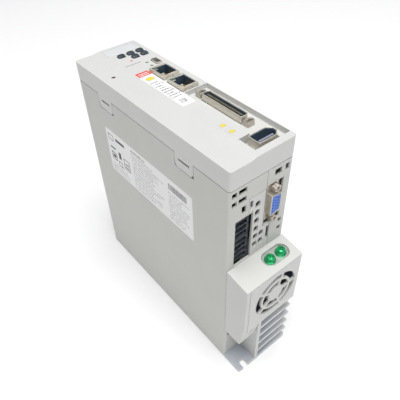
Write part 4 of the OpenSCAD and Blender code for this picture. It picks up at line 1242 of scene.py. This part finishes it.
class SERVO_OT_labels(bpy.types.Operator):
    """Rating label, notice label and caution labels with plain print"""

    bl_idname = "servo.labels"
    bl_label = "Labels"

    def execute(self, context):
        self.rating()
        self.notice()
        self.caution()
        return {"FINISHED"}

    def rating(self):
        """The large label on the side: film, lines of strokes, plain bars and frames."""
        low, high = span("rating_label")
        left, right = -high[1], -low[1]
        film = rectangle((left, low[2]), (right, high[2]), 2)
        level = -low[0]
        make(
            "rating_film", [faced(plate(film, level - 0.13, level, 0.02), "label side")],
            "label", stands_for=["rating_label"],
        )
        bottom, top = low[2], high[2]
        fine = writing(11, left + 34, right - 29, np.arange(bottom + 3, top - 5, 2.5), 1.2)
        tail = writing(12, right - 26, right - 3, np.arange(bottom + 3, top - 12, 2.2), 1.0)
        head = writing(13, left + 34, right - 50, [top - 4.6], 1.9)
        side = writing(14, left + 3, left + 30, np.arange(bottom + 2.6, bottom + 8, 2.3), 1.1)
        text = np.concatenate([fine, tail, side])
        printed("rating_text", text, "label side", level, "grey ink")
        draw = np.random.default_rng(15)
        edges = np.cumsum(draw.uniform(0.28, 0.62, 44)) + right - 25.5
        code = [(a, top - 9.5, b, top - 4.2) for a, b in zip(edges[::2], edges[1::2])]
        marks = outline_bars(left + 3, top - 9, left + 10, top - 4, 0.5)
        for a, b, width, tall, line in ((4, 13, 7, 7, 0.7), (13, 10, 5, 5, 0.6), (21, 12, 8, 10, 0.6)):
            marks += outline_bars(left + a, bottom + b, left + a + width, bottom + b + tall, line)
        marks += [(left + 13, top - 7, left + 25, top - 4.6)]
        marks += [
            (left + a, bottom + b, left + a + width, bottom + b + tall)
            for a, b, width, tall in (
                (14.5, 18, 3.5, 6), (22.5, 14, 5, 1), (22.5, 17, 5, 1), (5.5, 15, 4, 3), (4, 23.5, 7, 1.5)
            )
        ]
        marks = np.concatenate([code, head, marks])
        printed("rating_marks", marks, "label side", level, "ink")

    def notice(self):
        """The narrow label by the sockets: film, red band with two bars, patch, strokes and squares."""
        low, high = span("notice_label")
        film = plate(rectangle(low, high, 0.6), low[2], high[2], 0.03)
        make("notice_film", [film], "label", stands_for=["notice_label"])
        level, x0, x1, y1 = high[2], low[0] + 0.1, high[0] - 0.1, high[1] - 0.1
        band = plate(rectangle((x0, y1 - 6), (x1, y1), 0.5), level, level + 0.02, 0.004)
        make("notice_band", [band], "red ink")
        bars = [(x0 + 1.2, y1 - drop - 0.7, x1 - 1.2, y1 - drop) for drop in (2, 4)]
        printed("notice_band_bars", bars, "front", level + 0.02, "label")
        colour_patch("notice_patch", ((x0 + x1) / 2 - 0.3, y1 - 11.4), 6.2, 4.2, level, 0.3)
        lines = np.arange(high[1] - 41.5, high[1] - 17, 2.9)
        text = writing(22, x0 + 0.8, x1 - 0.6, lines, 1.5)
        printed("notice_text", text, "front", level, "ink")
        draw = np.random.default_rng(23)
        cells, cell = np.arange(11), 0.42
        a, b = np.meshgrid(cells, cells)
        shown = draw.random(a.shape) > 0.5
        a0, b0 = x0 + 2.4 + a[shown] * cell, low[1] + 3.2 + b[shown] * cell
        code = np.stack([a0, b0, a0 + cell, b0 + cell], 1)
        printed("notice_code", code, "front", level, "grey ink")

    def caution(self):
        """The two small labels: film in the cover's colour with a plain yellow patch."""
        for n, (low, high) in enumerate(islands("caution_labels")):
            film = plate(rectangle(low, high, 0.5), low[2], high[2], 0.03)
            kept = ["caution_labels"] if n == 0 else []
            make(f"caution_film_{n + 1}", [film], "cover", stands_for=kept)
            middle = ((low[0] + high[0]) / 2, (low[1] + high[1]) / 2)
            colour_patch(f"caution_patch_{n + 1}", middle, 3.8, 2.8, high[2], 0.22)


class SERVO_OT_marks(bpy.types.Operator):
    """A plain printed rule and dot under the keys, ridges by the well and three moulded bars"""

    bl_idname = "servo.marks"
    bl_label = "Marks"

    def execute(self, context):
        level = span("front_cover")[1][2]
        x, y = (sum(span("mode_button")) / 2)[:2]
        rule, dot = (x - 6.5, y - 16.2, x + 6.0, y - 15.4), (x + 1.2, y - 11.2, x + 2.6, y - 9.4)
        printed("panel_rule", [rule], "front", level, "grey ink")
        printed("panel_dot", [dot], "front", level, "red ink")
        ridges = 7.0 + 1.4 * np.arange(9)
        low, high = [(a, -1.0, 187.8) for a in ridges], [(a + 0.7, -0.9, 189.6) for a in ridges]
        make("well_ridges", [boxes(low, high)], "cover")
        face, rise, feet = -span("housing")[0][1], size("mark_rise"), (154.5, 156.5, 158.5)
        low, high = [(-10.3, b, face) for b in feet], [(-8.9, b + 0.8, face + rise) for b in feet]
        make("moulded_marks", [faced(boxes(low, high), "connector end")], "case")
        return {"FINISHED"}


# Finishes of the CAD nodes that keep their own shape
INNER = {
    "board": ("keypad_board", "control_board", "power_board"),
    "black plastic": (
        "tact_switches", "display_module", "board_link", "power_module", "bridge_rectifier", "inrush_relay"
    ),
    "sleeve": ("bus_capacitors",),
    "winding": ("transformer", "line_choke"),
    "pad": ("thermal_pad",),
    "brass": ("control_standoffs", "power_standoffs"),
    "steel": ("board_screws", "case_screws"),
}


class SERVO_OT_inside(bpy.types.Operator):
    """Boards, power parts, standoffs and screws inside the case"""

    bl_idname = "servo.inside"
    bl_label = "Inside"

    def execute(self, context):
        for look, names in INNER.items():
            for name in names:
                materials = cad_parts[name].data.materials
                materials.clear()
                materials.append(finish(look))
        return {"FINISHED"}


# Half the floor's side and its drop below the drive, in millimetres
FLOOR_REACH = 2600
FLOOR_DROP = 0.2
# The point that the lights aim at and the camera's place, in metres
AIM = Vector((0, -0.02, 0.1))
CAMERA_PLACE = Vector((-0.14115, -0.20037, 0.33177))
# The directions ahead of the camera and to its right
CAMERA_AHEAD = Vector((0.44908, 0.56996, -0.68809))
CAMERA_RIGHT = Vector((0.77268, -0.63444, -0.02124))


class SERVO_OT_stage(bpy.types.Operator):
    """Pale floor, soft light and the camera"""

    bl_idname = "servo.stage"
    bl_label = "Stage"

    def execute(self, context):
        side = np.linspace(-FLOOR_REACH, FLOOR_REACH, 25)
        x, y = np.meshgrid(side, side)
        points, quads = grid(np.stack([x, y, np.full_like(x, -FLOOR_DROP)], 2))
        mesh = bpy.data.meshes.new("floor")
        mesh.from_pydata(points * MM, [], quads)
        floor = bpy.data.objects.new("floor", mesh)
        context.scene.collection.objects.link(floor)
        mesh.materials.append(self.paper())
        self.light("key_light", (-0.15, -0.45, 2.6), 2.2, 88.0)
        self.light("end_light", (0.6, -2.2, 0.9), 1.2, 3.0)
        self.sky(context.scene)
        self.camera(context.scene)
        return {"FINISHED"}

    def paper(self):
        """The floor's finish: pale matt paper with a faint grain."""
        material, tree, shader, coords = new_material("paper floor")
        grain = effect(tree, "Grain", {"Vector": coords, "Scale": 900.0})
        tone = blended(tree, grain["Tone"], (0.91, 0.91, 0.91, 1), (0.94, 0.94, 0.94, 1))
        tree.links.new(tone, shader.inputs["Base Color"])
        shader.inputs["Roughness"].default_value = 0.9
        shader.inputs["Specular IOR Level"].default_value = 0.1
        add_bump(tree, shader, grain["Height"], 0.02)
        return material

    def light(self, name, place, width, power):
        """A square soft light, aimed at the drive."""
        data = bpy.data.lights.new(name, "AREA")
        data.size, data.energy = width, power
        lamp = bpy.data.objects.new(name, data)
        bpy.context.scene.collection.objects.link(lamp)
        lamp.location = place
        lamp.rotation_euler = (AIM - Vector(place)).to_track_quat("-Z", "Y").to_euler()

    def sky(self, scene):
        """An even pale sky: dimmer as a light than as the backdrop that is seen."""
        world = bpy.data.worlds.new("studio")
        world.use_nodes = True
        tree = world.node_tree
        tree.nodes.clear()
        seen = tree.nodes.new("ShaderNodeLightPath").outputs["Is Camera Ray"]
        strength = between(tree, seen, 0.0, 1.0, 0.2, 0.6)
        back = node(tree, "ShaderNodeBackground", {"Color": (0.97, 0.985, 1.0, 1), "Strength": strength})
        out = tree.nodes.new("ShaderNodeOutputWorld")
        tree.links.new(back.outputs[0], out.inputs["Surface"])
        scene.world = world
        scene.view_settings.view_transform = "Standard"

    def camera(self, scene):
        """The camera, turned to look the way ahead."""
        data = bpy.data.cameras.new("camera")
        data.sensor_width = 36
        data.lens = size("lens")
        data.clip_start, data.clip_end = 0.01, 50
        camera = bpy.data.objects.new("camera", data)
        scene.collection.objects.link(camera)
        ahead = CAMERA_AHEAD.normalized()
        right = (CAMERA_RIGHT - ahead * CAMERA_RIGHT.dot(ahead)).normalized()
        up = right.cross(ahead)
        turn = Matrix((right, up, -ahead)).transposed().to_4x4()
        camera.matrix_world = Matrix.Translation(CAMERA_PLACE) @ turn
        scene.camera = camera


PIECES = (
    SERVO_OT_case, SERVO_OT_sink, SERVO_OT_keys, SERVO_OT_display, SERVO_OT_lamps,
    SERVO_OT_network, SERVO_OT_signal, SERVO_OT_aux, SERVO_OT_service,
    SERVO_OT_encoder, SERVO_OT_headers, SERVO_OT_fan, SERVO_OT_earth,
    SERVO_OT_labels, SERVO_OT_marks, SERVO_OT_inside, SERVO_OT_stage,
)


class SERVO_PT_panel(bpy.types.Panel):
    """Sidebar panel of the servo drive"""

    bl_label = "Servo drive"
    bl_idname = "SERVO_PT_panel"
    bl_space_type = "VIEW_3D"
    bl_region_type = "UI"
    bl_category = "Servo drive"

    def draw(self, context):
        for operator in PIECES:
            self.layout.operator(operator.bl_idname)
        for settings in (context.scene.servo_colours, context.scene.servo_sizes):
            column = self.layout.column()
            for key in settings.__annotations__:
                column.prop(settings, key)


CLASSES = (ServoColours, ServoSizes, *PIECES, SERVO_PT_panel)


def register():
    """Adds the classes and the settings to Blender."""
    for cls in CLASSES:
        bpy.utils.register_class(cls)
    bpy.types.Scene.servo_colours = bpy.props.PointerProperty(type=ServoColours)
    bpy.types.Scene.servo_sizes = bpy.props.PointerProperty(type=ServoSizes)


def unregister():
    """Takes the settings and the classes away again."""
    del bpy.types.Scene.servo_sizes
    del bpy.types.Scene.servo_colours
    for cls in reversed(CLASSES):
        bpy.utils.unregister_class(cls)


def main():
    """Builds every piece and the stage."""
    register()
    for operator in PIECES:
        group, name = operator.bl_idname.split(".")
        getattr(getattr(bpy.ops, group), name)()


if __name__ == "__main__":
    main()
